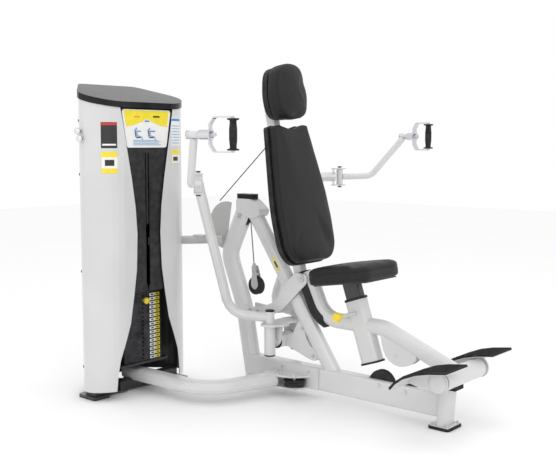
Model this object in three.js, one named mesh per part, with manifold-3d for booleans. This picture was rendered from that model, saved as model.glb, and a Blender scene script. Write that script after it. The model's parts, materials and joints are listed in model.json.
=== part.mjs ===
// Chest press machine with a rocking seat and a weight stack.
// Millimetres, +Z up. The user sits facing +X, and +Y is the user's left.
import * as THREE from 'three';
import { mergeVertices } from 'three/addons/utils/BufferGeometryUtils.js';
import Module from 'manifold-3d';

const wasm = await Module();
wasm.setup();

// ---------------------------------------------------------------- driving dimensions
const GAP = 0.3; // clearance between pieces that touch
const RUN = 0.6; // clearance of a turning or sliding fit
const SIDES = { right: -1, left: 1 };

const FRAME_HALF = 30; // half width of the leg tubes
const BEAM = { half: 35, low: 45, high: 154, back: -585, front: 530 };
const LEG_DEPTH = 100;
const FRONT_LEG_DEPTH = 80;
const APEX = { x: -606, z: 945 };
const ROCK_PIVOT = new THREE.Vector3(-230, 0, 579);
const PRESS_PIVOT = new THREE.Vector3(-380, 0, 255);
const SWIVEL_Y = 100; // the two upright arm pivots
const ARM_Z = 378; // height of the arm tubes where they leave their pivots
const CLEVIS = new THREE.Vector3(-430, 530, 1045); // upright pin of each handle tube
const HUB = new THREE.Vector3(-189, 790, 1260); // where each handle tube meets its hub
const GRIP = new THREE.Vector3(-13, 742, 1260); // middle of each hand grip
const GRIP_LENGTH = 128;
const CROSS_TUBE = { x: 604, z: 243, radius: 43, half: 158 };
const FOOT = { inner: 110, outer: 290 };
const RECLINE = THREE.MathUtils.degToRad(13.8);
const HEAD_RECLINE = THREE.MathUtils.degToRad(8);
const SEAT_TILT = THREE.MathUtils.degToRad(9);
const POST_LEAN = THREE.MathUtils.degToRad(19.2);
const SLEEVE_TOP = new THREE.Vector3(64, 0, 502);
const SLEEVE_LENGTH = 289;
const TOWER = { y: -469, front: -835, back: -1130, half: 300, low: 45 };
const PLATE = { count: 16, pitch: 21, thick: 20.4, half: 120, low: 151, front: -890, back: -1000 };
const PIN_PLATE = 14; // the plate that the selector pin is in
const ROD_SPACING = 75;
const ROD_RADIUS = 10;
const STEM_RADIUS = 11;
const CABLE_RADIUS = 2.6;

// ---------------------------------------------------------------- materials
const paint = new THREE.MeshStandardMaterial({ color: 0xe9e9e7, roughness: 0.32, metalness: 0.1 });
const steel = new THREE.MeshStandardMaterial({ color: 0xb9bbbd, roughness: 0.25, metalness: 0.9 });
const greyPlate = new THREE.MeshStandardMaterial({ color: 0x9a9896, roughness: 0.5 });
const blackPlastic = new THREE.MeshStandardMaterial({ color: 0x2b2b2c, roughness: 0.45 });
const blackRubber = new THREE.MeshStandardMaterial({ color: 0x141414, roughness: 0.8 });
const vinyl = new THREE.MeshStandardMaterial({ color: 0x2e2e2f, roughness: 0.6 });
const iron = new THREE.MeshStandardMaterial({ color: 0x303032, roughness: 0.55, metalness: 0.4 });
const yellow = new THREE.MeshStandardMaterial({ color: 0xd9b20d, roughness: 0.4 });
const cable = new THREE.MeshStandardMaterial({ color: 0x2a2a2a, roughness: 0.5 });

// ---------------------------------------------------------------- solids
const machine = new THREE.Group();
const v3 = (x, y, z) => new THREE.Vector3(x, y, z);
const UP = v3(0, 0, 1);
const ACROSS = v3(0, 1, 0);

function piece(name, geometry, material) {
  const mesh = new THREE.Mesh(geometry, material);
  mesh.name = name;
  machine.add(mesh);
  return geometry;
}

function toSolid(geometry) {
  const plain = geometry.index ? geometry.toNonIndexed() : geometry.clone();
  plain.deleteAttribute('normal');
  plain.deleteAttribute('uv');
  const merged = mergeVertices(plain, 1e-3);
  return new wasm.Manifold(new wasm.Mesh({
    numProp: 3,
    vertProperties: new Float32Array(merged.attributes.position.array),
    triVerts: new Uint32Array(merged.index.array),
  }));
}

function fromSolid(solid) {
  const mesh = solid.getMesh();
  const geometry = new THREE.BufferGeometry();
  geometry.setAttribute('position', new THREE.BufferAttribute(new Float32Array(mesh.vertProperties), 3));
  geometry.setIndex(new THREE.BufferAttribute(new Uint32Array(mesh.triVerts), 1));
  return geometry;
}

function cut(geometry, ...tools) {
  return fromSolid(tools.reduce((body, tool) => body.subtract(toSolid(tool)), toSolid(geometry)));
}

function join(first, ...others) {
  return fromSolid(others.reduce((body, other) => body.add(toSolid(other)), toSolid(first)));
}

// Geometry mirrored to the other side of the centre plane, faces still outward.
function mirrored(geometry, side) {
  if (side > 0) {
    return geometry;
  }
  const flipped = geometry.index ? geometry.toNonIndexed() : geometry.clone();
  flipped.scale(1, -1, 1);
  const position = flipped.attributes.position;
  const a = v3(0, 0, 0);
  const b = v3(0, 0, 0);
  for (let i = 0; i < position.count; i += 3) {
    a.fromBufferAttribute(position, i);
    b.fromBufferAttribute(position, i + 1);
    position.setXYZ(i, b.x, b.y, b.z);
    position.setXYZ(i + 1, a.x, a.y, a.z);
  }
  return flipped;
}

function box(low, high) {
  const size = high.clone().sub(low);
  const geometry = new THREE.BoxGeometry(size.x, size.y, size.z);
  const middle = low.clone().add(high).multiplyScalar(0.5);
  return geometry.translate(middle.x, middle.y, middle.z);
}

// A round rod from one point to another.
function rod(from, to, radius, sides = 16) {
  const along = to.clone().sub(from);
  const geometry = new THREE.CylinderGeometry(radius, radius, along.length(), sides);
  const turn = new THREE.Quaternion().setFromUnitVectors(ACROSS, along.clone().normalize());
  const middle = from.clone().add(to).multiplyScalar(0.5);
  return geometry.applyQuaternion(turn).translate(middle.x, middle.y, middle.z);
}

// A body of revolution: profile points are [radius, distance along the axis from `at`].
function spun(profile, at, axis, sides = 18) {
  const points = profile.map(([radius, along]) => new THREE.Vector2(radius, along));
  const turn = new THREE.Quaternion().setFromUnitVectors(ACROSS, axis.clone().normalize());
  return new THREE.LatheGeometry(points, sides).applyQuaternion(turn).translate(at.x, at.y, at.z);
}

// A cable pulley with a V groove and a bore.
function pulley(at, axis, radius, width, bore, sides = 18) {
  const half = width / 2;
  const groove = radius - width * 0.3;
  return spun([
    [bore, -half], [radius, -half], [groove, -width / 8], [groove, width / 8], [radius, half], [bore, half],
    [bore, -half],
  ], at, axis, sides);
}

// An axle bolt through a pulley, with its head and nut outside the cheeks.
function axleBolt(at, axis, half, cheek) {
  const point = (along) => at.clone().addScaledVector(axis, along);
  return join(
    rod(point(-half), point(half), 6.4, 12),
    rod(point(-half), point(-cheek + 1), 10, 6),
    rod(point(cheek - 1), point(half), 10, 6),
  );
}

// ---------------------------------------------------------------- sections and plates
function ovalSection(width, height) {
  const shape = new THREE.Shape();
  const radius = Math.min(width, height) / 2;
  const straight = Math.max(width, height) / 2 - radius;
  if (height > width) {
    shape.absarc(0, straight, radius, 0, Math.PI);
    shape.absarc(0, -straight, radius, Math.PI, 2 * Math.PI);
  } else {
    shape.absarc(straight, 0, radius, -Math.PI / 2, Math.PI / 2);
    shape.absarc(-straight, 0, radius, Math.PI / 2, 1.5 * Math.PI);
  }
  return shape;
}

function circleSection(radius) {
  return new THREE.Shape().absarc(0, 0, radius, 0, 2 * Math.PI);
}

function roundedSection(width, height, radius) {
  const shape = new THREE.Shape();
  const x = width / 2 - radius;
  const y = height / 2 - radius;
  shape.absarc(x, y, radius, 0, Math.PI / 2);
  shape.absarc(-x, y, radius, Math.PI / 2, Math.PI);
  shape.absarc(-x, -y, radius, Math.PI, 1.5 * Math.PI);
  shape.absarc(x, -y, radius, 1.5 * Math.PI, 2 * Math.PI);
  return shape;
}

function polygon(points) {
  return new THREE.Shape(points.map(([x, y]) => new THREE.Vector2(x, y)));
}

// A polygon whose corners are rounded: each point is [x, y, corner radius].
function roundedPolygon(points) {
  const count = points.length;
  const shape = new THREE.Shape();
  points.forEach(([x, y, radius = 0], i) => {
    const corner = new THREE.Vector2(x, y);
    const toLast = new THREE.Vector2(...points[(i + count - 1) % count]).sub(corner);
    const toNext = new THREE.Vector2(...points[(i + 1) % count]).sub(corner);
    const trim = Math.min(radius, 0.48 * toLast.length(), 0.48 * toNext.length());
    const enter = corner.clone().add(toLast.setLength(trim));
    const leave = corner.clone().add(toNext.setLength(trim));
    if (i === 0) {
      shape.moveTo(enter.x, enter.y);
    } else {
      shape.lineTo(enter.x, enter.y);
    }
    if (radius > 0) {
      shape.quadraticCurveTo(x, y, leave.x, leave.y);
    }
  });
  return shape;
}

// A plate lying in the X-Z plane, between two Y values.
function sidePlate(shape, yLow, yHigh, curveSegments = 3) {
  const options = { depth: yHigh - yLow, bevelEnabled: false, curveSegments };
  return new THREE.ExtrudeGeometry(shape, options).rotateX(Math.PI / 2).translate(0, yHigh, 0);
}

// A plate lying in the X-Y plane, between two Z values.
function floorPlate(shape, zLow, zHigh, curveSegments = 2) {
  const options = { depth: zHigh - zLow, bevelEnabled: false, curveSegments };
  return new THREE.ExtrudeGeometry(shape, options).translate(0, 0, zLow);
}

// ---------------------------------------------------------------- tubes along a route
// The section's width stays along `side`, and its height turns with the route.
class Route extends THREE.Curve {
  constructor(stations, side) {
    super();
    this.stations = stations;
    this.side = side;
  }

  getPoint(t) {
    return this.stations[Math.round(t * (this.stations.length - 1))].clone();
  }

  getSpacedPoints() {
    return this.stations;
  }

  computeFrenetFrames() {
    const last = this.stations.length - 1;
    const tangents = this.stations.map((_, i) => {
      const ahead = this.stations[Math.min(i + 1, last)].clone().sub(this.stations[Math.min(i, last - 1)]);
      const behind = this.stations[Math.max(i, 1)].clone().sub(this.stations[Math.max(i - 1, 0)]);
      return ahead.normalize().add(behind.normalize()).normalize();
    });
    const normals = tangents.map((t) => this.side.clone().addScaledVector(t, -t.dot(this.side)).normalize());
    const binormals = tangents.map((t, i) => t.clone().cross(normals[i]));
    return { tangents, normals, binormals };
  }
}

// Points with the given bend radius at each inner corner.
function bent(points, radii, arcSteps = 6) {
  const stations = [points[0]];
  for (let i = 1; i < points.length - 1; i += 1) {
    const radius = radii[i - 1];
    const before = points[i].clone().sub(points[i - 1]).normalize();
    const after = points[i + 1].clone().sub(points[i]).normalize();
    const turn = before.angleTo(after);
    const inward = after.clone().sub(before).normalize();
    const centre = points[i].clone().addScaledVector(inward, radius / Math.cos(turn / 2));
    const arm = points[i].clone().addScaledVector(before, -radius * Math.tan(turn / 2)).sub(centre);
    const axis = before.clone().cross(after).normalize();
    for (let k = 0; k <= arcSteps; k += 1) {
      stations.push(arm.clone().applyAxisAngle(axis, (turn * k) / arcSteps).add(centre));
    }
  }
  stations.push(points[points.length - 1]);
  return stations;
}

function tube(section, stations, side = ACROSS, curveSegments = 3) {
  const route = new Route(stations, side);
  return new THREE.ExtrudeGeometry(section, {
    steps: stations.length - 1, extrudePath: route, bevelEnabled: false, curveSegments,
  });
}

// ================================================================ main frame
const frontPostRoute = [v3(538, 0, -4), v3(553, 0, 200)];
const rearLegRoute = bent(
  [v3(APEX.x, 0, APEX.z - 4), v3(-744, 0, 655), v3(-640, 0, 395), v3(-570, 0, 24.3)],
  [110, 500],
);
const frontLegRoute = [v3(-604, 0, 930), v3(-40, 0, 102)];

function beamSolid(grow) {
  const section = roundedSection(2 * (BEAM.half + grow), BEAM.high - BEAM.low + 2 * grow, 12);
  const z = (BEAM.low + BEAM.high) / 2;
  return tube(section, [v3(BEAM.back, 0, z), v3(BEAM.front, 0, z)], ACROSS, 1);
}

function frontPostSolid(grow) {
  return tube(ovalSection(104 + 2 * grow, 50 + 2 * grow), frontPostRoute, ACROSS, 4);
}

function rearLegSolid(grow) {
  return tube(ovalSection(2 * (FRAME_HALF + grow), LEG_DEPTH + 2 * grow), rearLegRoute);
}

function frontLegSolid(grow) {
  return tube(ovalSection(2 * (FRAME_HALF + grow), FRONT_LEG_DEPTH + 2 * grow), frontLegRoute);
}

const APEX_PULLEY = { at: v3(-640, 0, 858), radius: 46, width: 22 };
const pulleySlot = rod(
  v3(APEX_PULLEY.at.x, -14, APEX_PULLEY.at.z), v3(APEX_PULLEY.at.x, 14, APEX_PULLEY.at.z), 52,
);
const cableWay = box(v3(-625, -14, 700), v3(-560, 14, 858));
const aboveApex = box(v3(-800, -100, 945.9), v3(-400, 100, 1100));

const BEAM_PULLEYS = [
  { name: 'beam_pulley_rear', at: v3(215, 0, 132), radius: 68 },
  { name: 'beam_pulley_front', at: v3(355, 0, 128), radius: 45 },
];

function mainBeam() {
  const wells = BEAM_PULLEYS.flatMap(({ at, radius }) => [
    rod(v3(at.x, -13, at.z), v3(at.x, 13, at.z), radius + 5),
    box(v3(at.x - radius - 5, -13, at.z), v3(at.x + radius + 5, 13, BEAM.high + 20)),
  ]);
  const bolts = BEAM_PULLEYS.map(({ at }) => axleBolt(at, ACROSS, 43, BEAM.half));
  return join(cut(beamSolid(0), frontPostSolid(GAP), ...wells), ...bolts);
}
piece('main_beam', mainBeam(), paint);
piece('front_post', cut(frontPostSolid(0), box(v3(400, -100, -60), v3(700, 100, 12 + GAP))), paint);
piece('front_foot', floorPlate(roundedSection(104, 124, 14), 0, 12, 1).translate(539, 0, 0), blackRubber);
const rearSole = floorPlate(roundedSection(116, 96, 12), 0, 26, 1).translate(-575, 0, 0);
piece('rear_leg', join(
  cut(join(rearLegSolid(0), rearSole), beamSolid(GAP), pulleySlot, cableWay, aboveApex),
  axleBolt(APEX_PULLEY.at, ACROSS, 38, FRAME_HALF),
), paint);
piece('front_leg', cut(
  frontLegSolid(0), rearLegSolid(1), beamSolid(GAP), pulleySlot, cableWay, aboveApex,
), paint);

function apexBlock() {
  const outline = roundedPolygon([
    [-664, 880, 14], [-662, 946, 10], [-566, 946, 14], [-498, 892, 12], [-512, 862, 10], [-560, 846, 10],
  ]);
  return cut(sidePlate(outline, -35, 35), rearLegSolid(GAP), frontLegSolid(GAP), pulleySlot, cableWay);
}
piece('apex_block', apexBlock(), paint);

function apexCap() {
  const recess = (x) => rod(v3(x, 0, 964), v3(x, 0, 980), 11, 16);
  const outline = ovalSection(124, 64);
  const body = floorPlate(outline, 946.3, 970, 6).translate(-616, 0, 0);
  return cut(body, recess(-642), recess(-590));
}
piece('apex_cap', apexCap(), blackPlastic);

piece('post_saddle', (() => {
  const rest = rod(v3(CROSS_TUBE.x, -80, CROSS_TUBE.z), v3(CROSS_TUBE.x, 80, CROSS_TUBE.z), CROSS_TUBE.radius + 2);
  const block = box(v3(570, -36, 176), v3(606, 36, 210));
  return cut(block, rest, frontPostSolid(GAP));
})(), blackRubber);

// Sector that the carriage cable is anchored to, behind the rear leg.
function cableSector() {
  const hubPoint = [-770, 690];
  const shape = new THREE.Shape();
  shape.moveTo(...hubPoint);
  shape.absarc(-760, 800, 125, 1.42 * Math.PI, 0.42 * Math.PI, true);
  shape.lineTo(...hubPoint);
  return cut(sidePlate(shape, -4, 4, 8), rearLegSolid(GAP));
}
piece('cable_sector', cableSector(), greyPlate);

// Two cheek plates that carry the rocking carriage between them.
function pivotPlates() {
  const outline = roundedPolygon([
    [-600, 366, 8], [-600, 410, 8], [-505, 402, 30], [-392, 448, 20], [-330, 545, 16], [-266, 604, 24],
    [-200, 600, 22], [-196, 560, 16], [-298, 462, 20], [-368, 398, 30], [-440, 370, 30], [-510, 370, 20],
  ]);
  const hole = rod(v3(ROCK_PIVOT.x, -60, ROCK_PIVOT.z), v3(ROCK_PIVOT.x, 60, ROCK_PIVOT.z), 12 + GAP, 20);
  const cheeks = Object.values(SIDES).map((side) => cut(
    sidePlate(outline, side * 40 - 4, side * 40 + 4), rearLegSolid(GAP), frontLegSolid(GAP), hole,
  ));
  const spacer = (x, z) => rod(v3(x, -40, z), v3(x, 40, z), 13, 14);
  return join(cheeks[0], cheeks[1], spacer(-478, 386));
}
piece('pivot_plates', pivotPlates(), paint);
piece('pivot_axle', join(
  rod(v3(ROCK_PIVOT.x, -48, ROCK_PIVOT.z), v3(ROCK_PIVOT.x, 48, ROCK_PIVOT.z), 12, 20),
  rod(v3(ROCK_PIVOT.x, -51, ROCK_PIVOT.z), v3(ROCK_PIVOT.x, -44.3, ROCK_PIVOT.z), 18),
  rod(v3(ROCK_PIVOT.x, 44.3, ROCK_PIVOT.z), v3(ROCK_PIVOT.x, 51, ROCK_PIVOT.z), 18),
), steel);

// Bearing housing of the press arms, on a plate bolted to the front leg.
function armBracket() {
  const outline = roundedPolygon([
    [-392, 262, 10], [-300, 300, 30], [-286, 338, 20], [-256, 372, 10], [-214, 366, 10], [-232, 320, 16],
    [-214, 262, 30], [-138, 214, 10], [-166, 178, 10], [-212, 186, 14], [-330, 226, 20], [-392, 230, 10],
  ]);
  const housing = rod(v3(PRESS_PIVOT.x, -50, PRESS_PIVOT.z), v3(PRESS_PIVOT.x, 50, PRESS_PIVOT.z), 37);
  const bore = rod(v3(PRESS_PIVOT.x, -80, PRESS_PIVOT.z), v3(PRESS_PIVOT.x, 80, PRESS_PIVOT.z), 15 + RUN);
  return cut(join(sidePlate(outline, -14, 14), housing), bore, frontLegSolid(GAP));
}
piece('arm_bracket', armBracket(), paint);

// ================================================================ base tube to the tower
const BASE_Z = 80;
const BASE_PULLEY = { at: v3(-232, -92, BASE_Z), radius: 52, width: 26 };
const baseRoute = bent([
  v3(-1005, TOWER.y + 3, BASE_Z), v3(-461, TOWER.y + 3, BASE_Z), v3(-347, -116, BASE_Z),
], [180], 7);

// The oval's width must stay level all round the bend, so its side vector is the level normal.
class LevelRoute extends Route {
  computeFrenetFrames() {
    const frames = super.computeFrenetFrames();
    const binormals = frames.tangents.map(() => UP.clone());
    const normals = frames.tangents.map((t) => UP.clone().cross(t).normalize());
    return { tangents: frames.tangents, normals, binormals };
  }
}

function levelTube(section, stations, curveSegments = 3) {
  const route = new LevelRoute(stations, ACROSS);
  return new THREE.ExtrudeGeometry(section, {
    steps: stations.length - 1, extrudePath: route, bevelEnabled: false, curveSegments,
  });
}

function baseTube() {
  const fork = roundedPolygon([
    [-392, -35 - GAP, 0], [-398, -130, 10], [-330, -142, 20], [-238, -120, 20], [-196, -84, 24],
    [-172, -35 - GAP, 0],
  ]);
  const flange = box(v3(-395, -45, 48), v3(-125, -35 - GAP, 152));
  const well = rod(
    v3(BASE_PULLEY.at.x, BASE_PULLEY.at.y, BASE_Z - 16), v3(BASE_PULLEY.at.x, BASE_PULLEY.at.y, BASE_Z + 16),
    BASE_PULLEY.radius + 8,
  );
  const welded = join(
    levelTube(ovalSection(100, 64), baseRoute),
    floorPlate(fork, BASE_Z + 24, BASE_Z + 32), floorPlate(fork, BASE_Z - 32, BASE_Z - 24), flange,
  );
  return join(cut(welded, well, rearLegSolid(GAP)), axleBolt(BASE_PULLEY.at, UP, 40, 32));
}
piece('base_tube', baseTube(), paint);

// ================================================================ weight tower
// Half of the tower's plan outline, from the front round to the rear: [x, half width].
const PLAN = [
  [-835, 150], [-840, 185], [-850, 213], [-866, 240], [-888, 268], [-912, 289], [-938, 299], [-962, 299],
  [-985, 290], [-1008, 274], [-1030, 255], [-1056, 233], [-1084, 212], [-1110, 190], [-1126, 170], [-1130, 150],
];

// The tower's plan, moved outward by the given distance.
function planShape(offset) {
  const right = PLAN.map(([x, w]) => new THREE.Vector2(x, -w));
  const left = PLAN.map(([x, w]) => new THREE.Vector2(x, w)).reverse();
  const outline = [...right, ...left];
  const count = outline.length;
  const moved = outline.map((point, i) => {
    const before = point.clone().sub(outline[(i + count - 1) % count]).normalize();
    const after = outline[(i + 1) % count].clone().sub(point).normalize();
    const outward = before.clone().add(after).rotateAround(new THREE.Vector2(), Math.PI / 2).normalize();
    const edge = before.clone().rotateAround(new THREE.Vector2(), Math.PI / 2);
    return point.clone().addScaledVector(outward, offset / outward.dot(edge));
  });
  return polygon(moved.map(({ x, y }) => [x, y + TOWER.y]));
}

// Everything above or below a plane that slopes down to the front.
function slopedBlock(zFront, slope, above) {
  const far = 900;
  const x0 = TOWER.front + 60;
  const x1 = TOWER.back - 60;
  const z0 = zFront - slope * 60;
  const z1 = zFront + slope * (TOWER.front - TOWER.back + 60);
  const reach = above ? far : -far;
  const shape = polygon([[x0, z0], [x0, z0 + reach], [x1, z1 + reach], [x1, z1]]);
  return sidePlate(shape, TOWER.y - 400, TOWER.y + 400);
}

const LIP = { front: 1392, slope: 0.29 };
const CROWN = { front: 1420, slope: 0.31 };
const SKIN = 4;

// Hourglass opening in the front of the casing: [height, half width].
const OPENING = [
  [20, 205], [120, 196], [190, 184], [363, 122], [500, 98], [620, 80], [790, 73], [920, 82], [1060, 103], [1200, 129],
  [1395, 165], [1500, 182],
];

function openingTool(extra) {
  const right = OPENING.map(([z, w]) => [TOWER.y - w - extra, z]);
  const left = OPENING.map(([z, w]) => [TOWER.y + w + extra, z]).reverse();
  const options = { depth: 90, bevelEnabled: false };
  return new THREE.ExtrudeGeometry(polygon([...left, ...right]), options)
    .applyMatrix4(new THREE.Matrix4().makeBasis(ACROSS, UP, v3(1, 0, 0))).translate(TOWER.front - 70, 0, 0);
}

function casingShell() {
  const outer = floorPlate(planShape(0), TOWER.low, 1600);
  const inner = floorPlate(planShape(-SKIN), TOWER.low - 10, 1610);
  return cut(outer, inner, slopedBlock(LIP.front - GAP, LIP.slope, true), openingTool(0));
}

const braceRoute = [v3(-1035, -345, 730), v3(-770, -35, 730)];
const braceTube = (grow) => tube(roundedSection(40 + 2 * grow, 48 + 2 * grow, 8), braceRoute, UP, 1);

// Each half of the casing wraps from the opening round to the middle of the back.
function casingHalf(side, ...holes) {
  const middle = TOWER.y + side * GAP;
  const low = v3(-1300, Math.min(middle, middle + side * 400), 0);
  const high = v3(-700, Math.max(middle, middle + side * 400), 1600);
  return cut(fromSolid(toSolid(casingShell()).intersect(toSolid(box(low, high)))), ...holes);
}
piece('shroud_right', casingHalf(SIDES.right), paint);
piece('shroud_left', casingHalf(SIDES.left, braceTube(4)), paint);

function towerCap() {
  const outer = cut(
    floorPlate(planShape(5), 1300, 1700),
    slopedBlock(CROWN.front, CROWN.slope, true), slopedBlock(LIP.front, LIP.slope, false),
  );
  const hollow = cut(
    floorPlate(planShape(-2), 1300, 1700),
    slopedBlock(CROWN.front - 6, CROWN.slope, true), slopedBlock(LIP.front - 5, LIP.slope, false),
  );
  return cut(outer, hollow);
}
piece('tower_cap', towerCap(), blackPlastic);

// Dark inner panel behind the opening, above the weights. It has two slits, and between them, open at the
// bottom, the slot that the selector pin rises through.
function stackShield() {
  const low = 505;
  const high = 1400;
  const widths = OPENING.filter(([z]) => z > low && z < high);
  const levels = [[low, 96], ...widths, [high, 160]];
  const right = levels.map(([z, w]) => [TOWER.y - w - 12, z]);
  const left = levels.map(([z, w]) => [TOWER.y + w + 12, z]).reverse();
  const turned = new THREE.Matrix4().makeBasis(ACROSS, UP, v3(1, 0, 0));
  const sheet = new THREE.ExtrudeGeometry(polygon([...left, ...right]), { depth: 3, bevelEnabled: false });
  sheet.applyMatrix4(turned).translate(-847.3, 0, 0);
  const slit = (y) => box(v3(-870, y - 4, low + 30), v3(-800, y + 4, 1180));
  const pinSlot = box(v3(-870, TOWER.y - 6, low - 5), v3(-800, TOWER.y + 6, 835));
  return cut(sheet, slit(TOWER.y - 9), slit(TOWER.y + 9), pinSlot);
}
const shieldTrim = () => cut(
  floorPlate(planShape(-SKIN - GAP), 400, 1500), slopedBlock(LIP.front - 8, LIP.slope, true),
);
piece('stack_shield', fromSolid(toSolid(stackShield()).intersect(toSolid(shieldTrim()))), blackPlastic);

function placard() {
  const shape = roundedPolygon([
    [TOWER.y + 154, 1384, 18], [TOWER.y - 154, 1384, 18], [TOWER.y - 124, 1204, 14], [TOWER.y + 124, 1204, 14],
  ]);
  const turned = new THREE.Matrix4().makeBasis(ACROSS, UP, v3(1, 0, 0));
  return new THREE.ExtrudeGeometry(shape, { depth: 4, bevelEnabled: false, curveSegments: 4 })
    .applyMatrix4(turned).translate(-844, 0, 0);
}
piece('placard', placard(), greyPlate);

const RODS = [TOWER.y - ROD_SPACING, TOWER.y + ROD_SPACING];
const STACK_X = (PLATE.front + PLATE.back) / 2;
const TOWER_PULLEY = { at: v3(STACK_X - 35, TOWER.y, 1370), radius: 36, width: 20 };
const TOWER_PADS = [ // [x, y, length, width]
  [-985, TOWER.y - 230, 130, 100], [-935, TOWER.y + 245, 110, 104],
  [-1030, TOWER.y - 95, 100, 96], [-1030, TOWER.y + 95, 100, 96],
];

// Base, two rear uprights, top crossmember and the shelf that the weights rest on.
function towerFrame() {
  const upright = (y) => box(v3(-1075, y - 25, 30), v3(-1035, y + 25, 1392));
  const skid = (y) => box(v3(-1074, y - 24, 12.3), v3(-925, y + 24, 60));
  const cross = box(v3(-985, TOWER.y - 265, 12.3), v3(-935, TOWER.y + 265, 60));
  const shelf = box(v3(-1040, TOWER.y - 150, 138), v3(-880, TOWER.y + 150, 150));
  const shelfBrace = box(v3(-1074, TOWER.y - 120, 120), v3(-1034, TOWER.y + 120, 150));
  const top = box(v3(-1074, TOWER.y - 120, 1362), v3(-905, TOWER.y + 120, 1391));
  const pulleyWell = box(v3(-1030, TOWER.y - 14, 1300), v3(-915, TOWER.y + 14, 1450));
  const rodHoles = RODS.map((y) => rod(v3(STACK_X, y, 130), v3(STACK_X, y, 1395), ROD_RADIUS + GAP, 16));
  const pads = TOWER_PADS.map(([x, y, length, width]) => (
    floorPlate(roundedSection(length, width, 14), 0, 16, 1).translate(x, y, 0)
  ));
  const welded = join(
    cross, skid(TOWER.y - 95), skid(TOWER.y + 95), upright(TOWER.y - 95), upright(TOWER.y + 95),
    shelf, shelfBrace, top, ...pads,
  );
  const clear = levelTube(ovalSection(100 + 2 * GAP, 64 + 2 * GAP), baseRoute);
  return join(
    cut(welded, clear, braceTube(GAP), pulleyWell, ...rodHoles),
    rod(v3(TOWER_PULLEY.at.x, TOWER.y - 20, TOWER_PULLEY.at.z), v3(TOWER_PULLEY.at.x, TOWER.y + 20, TOWER_PULLEY.at.z),
      6.4, 12),
  );
}
piece('tower_frame', towerFrame(), iron);

Object.entries(SIDES).forEach(([name, side]) => {
  const y = TOWER.y + side * ROD_SPACING;
  piece(`guide_rod_${name}`, rod(v3(STACK_X, y, 139), v3(STACK_X, y, 1390), ROD_RADIUS, 16), steel);
});

// Plates that rest on each other: a block with a narrow groove round it between each two plates.
function plateStack(first, last) {
  const low = PLATE.low + first * PLATE.pitch;
  const high = PLATE.low + last * PLATE.pitch + PLATE.thick;
  const block = box(v3(PLATE.back, TOWER.y - PLATE.half, low), v3(PLATE.front, TOWER.y + PLATE.half, high));
  const hole = (y, radius) => rod(v3(STACK_X, y, low - 5), v3(STACK_X, y, high + 5), radius, 12);
  const tools = [hole(RODS[0], ROD_RADIUS + RUN), hole(RODS[1], ROD_RADIUS + RUN), hole(TOWER.y, STEM_RADIUS + 1)];
  for (let index = first; index <= last; index += 1) {
    const z = PLATE.low + index * PLATE.pitch;
    tools.push(box(v3(STACK_X, TOWER.y - 5.5, z + 5.5), v3(PLATE.front + 5, TOWER.y + 5.5, z + 14.9)));
    if (index < last) {
      tools.push(cut(
        box(v3(PLATE.back - 5, TOWER.y - 130, z + PLATE.thick), v3(PLATE.front + 5, TOWER.y + 130, z + PLATE.pitch)),
        box(v3(PLATE.back + 8, TOWER.y - 112, z), v3(PLATE.front - 8, TOWER.y + 112, z + 30)),
      ));
    }
  }
  return cut(block, ...tools);
}
piece('resting_plates', plateStack(0, PIN_PLATE - 1), iron);
piece('lifted_plates', plateStack(PIN_PLATE, PLATE.count - 1), iron);

const STACK_TOP = PLATE.low + PLATE.count * PLATE.pitch;
const PIN_LEVEL = PLATE.low + PIN_PLATE * PLATE.pitch + 10.2;

function topPlate() {
  const slab = box(
    v3(PLATE.back, TOWER.y - PLATE.half, STACK_TOP), v3(PLATE.front, TOWER.y + PLATE.half, STACK_TOP + 26),
  );
  const holes = RODS.map((y) => rod(v3(STACK_X, y, STACK_TOP - 5), v3(STACK_X, y, STACK_TOP + 60), ROD_RADIUS + RUN, 16));
  const stem = rod(v3(STACK_X, TOWER.y, 160), v3(STACK_X, TOWER.y, STACK_TOP + 70), STEM_RADIUS, 12);
  const pinHole = box(v3(STACK_X - 20, TOWER.y - 5, PIN_LEVEL - 4.8), v3(STACK_X + 20, TOWER.y + 5, PIN_LEVEL + 4.8));
  const socket = rod(v3(STACK_X, TOWER.y, STACK_TOP + 60), v3(STACK_X, TOWER.y, STACK_TOP + 80), CABLE_RADIUS + GAP, 8);
  return cut(join(slab, stem), ...holes, pinHole, socket);
}
piece('top_plate', topPlate(), iron);

piece('selector_pin', join(
  rod(v3(STACK_X + 2, TOWER.y, PIN_LEVEL), v3(PLATE.front + 12, TOWER.y, PIN_LEVEL), 4, 12),
  spun([[0, 0], [9, 0], [11, 6], [15, 12], [16, 22], [12, 27], [0, 28]], v3(PLATE.front + 10, TOWER.y, PIN_LEVEL),
    v3(1, 0, 0), 16),
), yellow);

piece('tower_brace', (() => {
  const plate = rod(v3(-846, -112, 706), v3(-846, -112, 754), 38, 20);
  const half = box(v3(-900, -170, 700), v3(-780, -60, 722));
  return cut(join(braceTube(0), cut(plate, half)), rearLegSolid(GAP));
})(), greyPlate);

// ================================================================ pulleys and cables
piece('apex_pulley', pulley(APEX_PULLEY.at, ACROSS, APEX_PULLEY.radius, APEX_PULLEY.width, 6.4 + RUN), blackPlastic);
piece('base_pulley', pulley(BASE_PULLEY.at, UP, BASE_PULLEY.radius, BASE_PULLEY.width, 6.4 + RUN), blackPlastic);
BEAM_PULLEYS.forEach(({ name, at, radius }) => {
  piece(name, pulley(at, ACROSS, radius, 22, 6.4 + RUN), blackPlastic);
});

piece('tower_pulley', pulley(TOWER_PULLEY.at, ACROSS, TOWER_PULLEY.radius, TOWER_PULLEY.width, 6.4 + RUN), blackPlastic);

// The stack cable rises from the stem to the front of the tower pulley.
const stackCableEnds = [v3(STACK_X, TOWER.y, STACK_TOP + 62), v3(STACK_X, TOWER.y, TOWER_PULLEY.at.z)];
piece('stack_cable', tube(circleSection(CABLE_RADIUS), stackCableEnds), cable);

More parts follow.
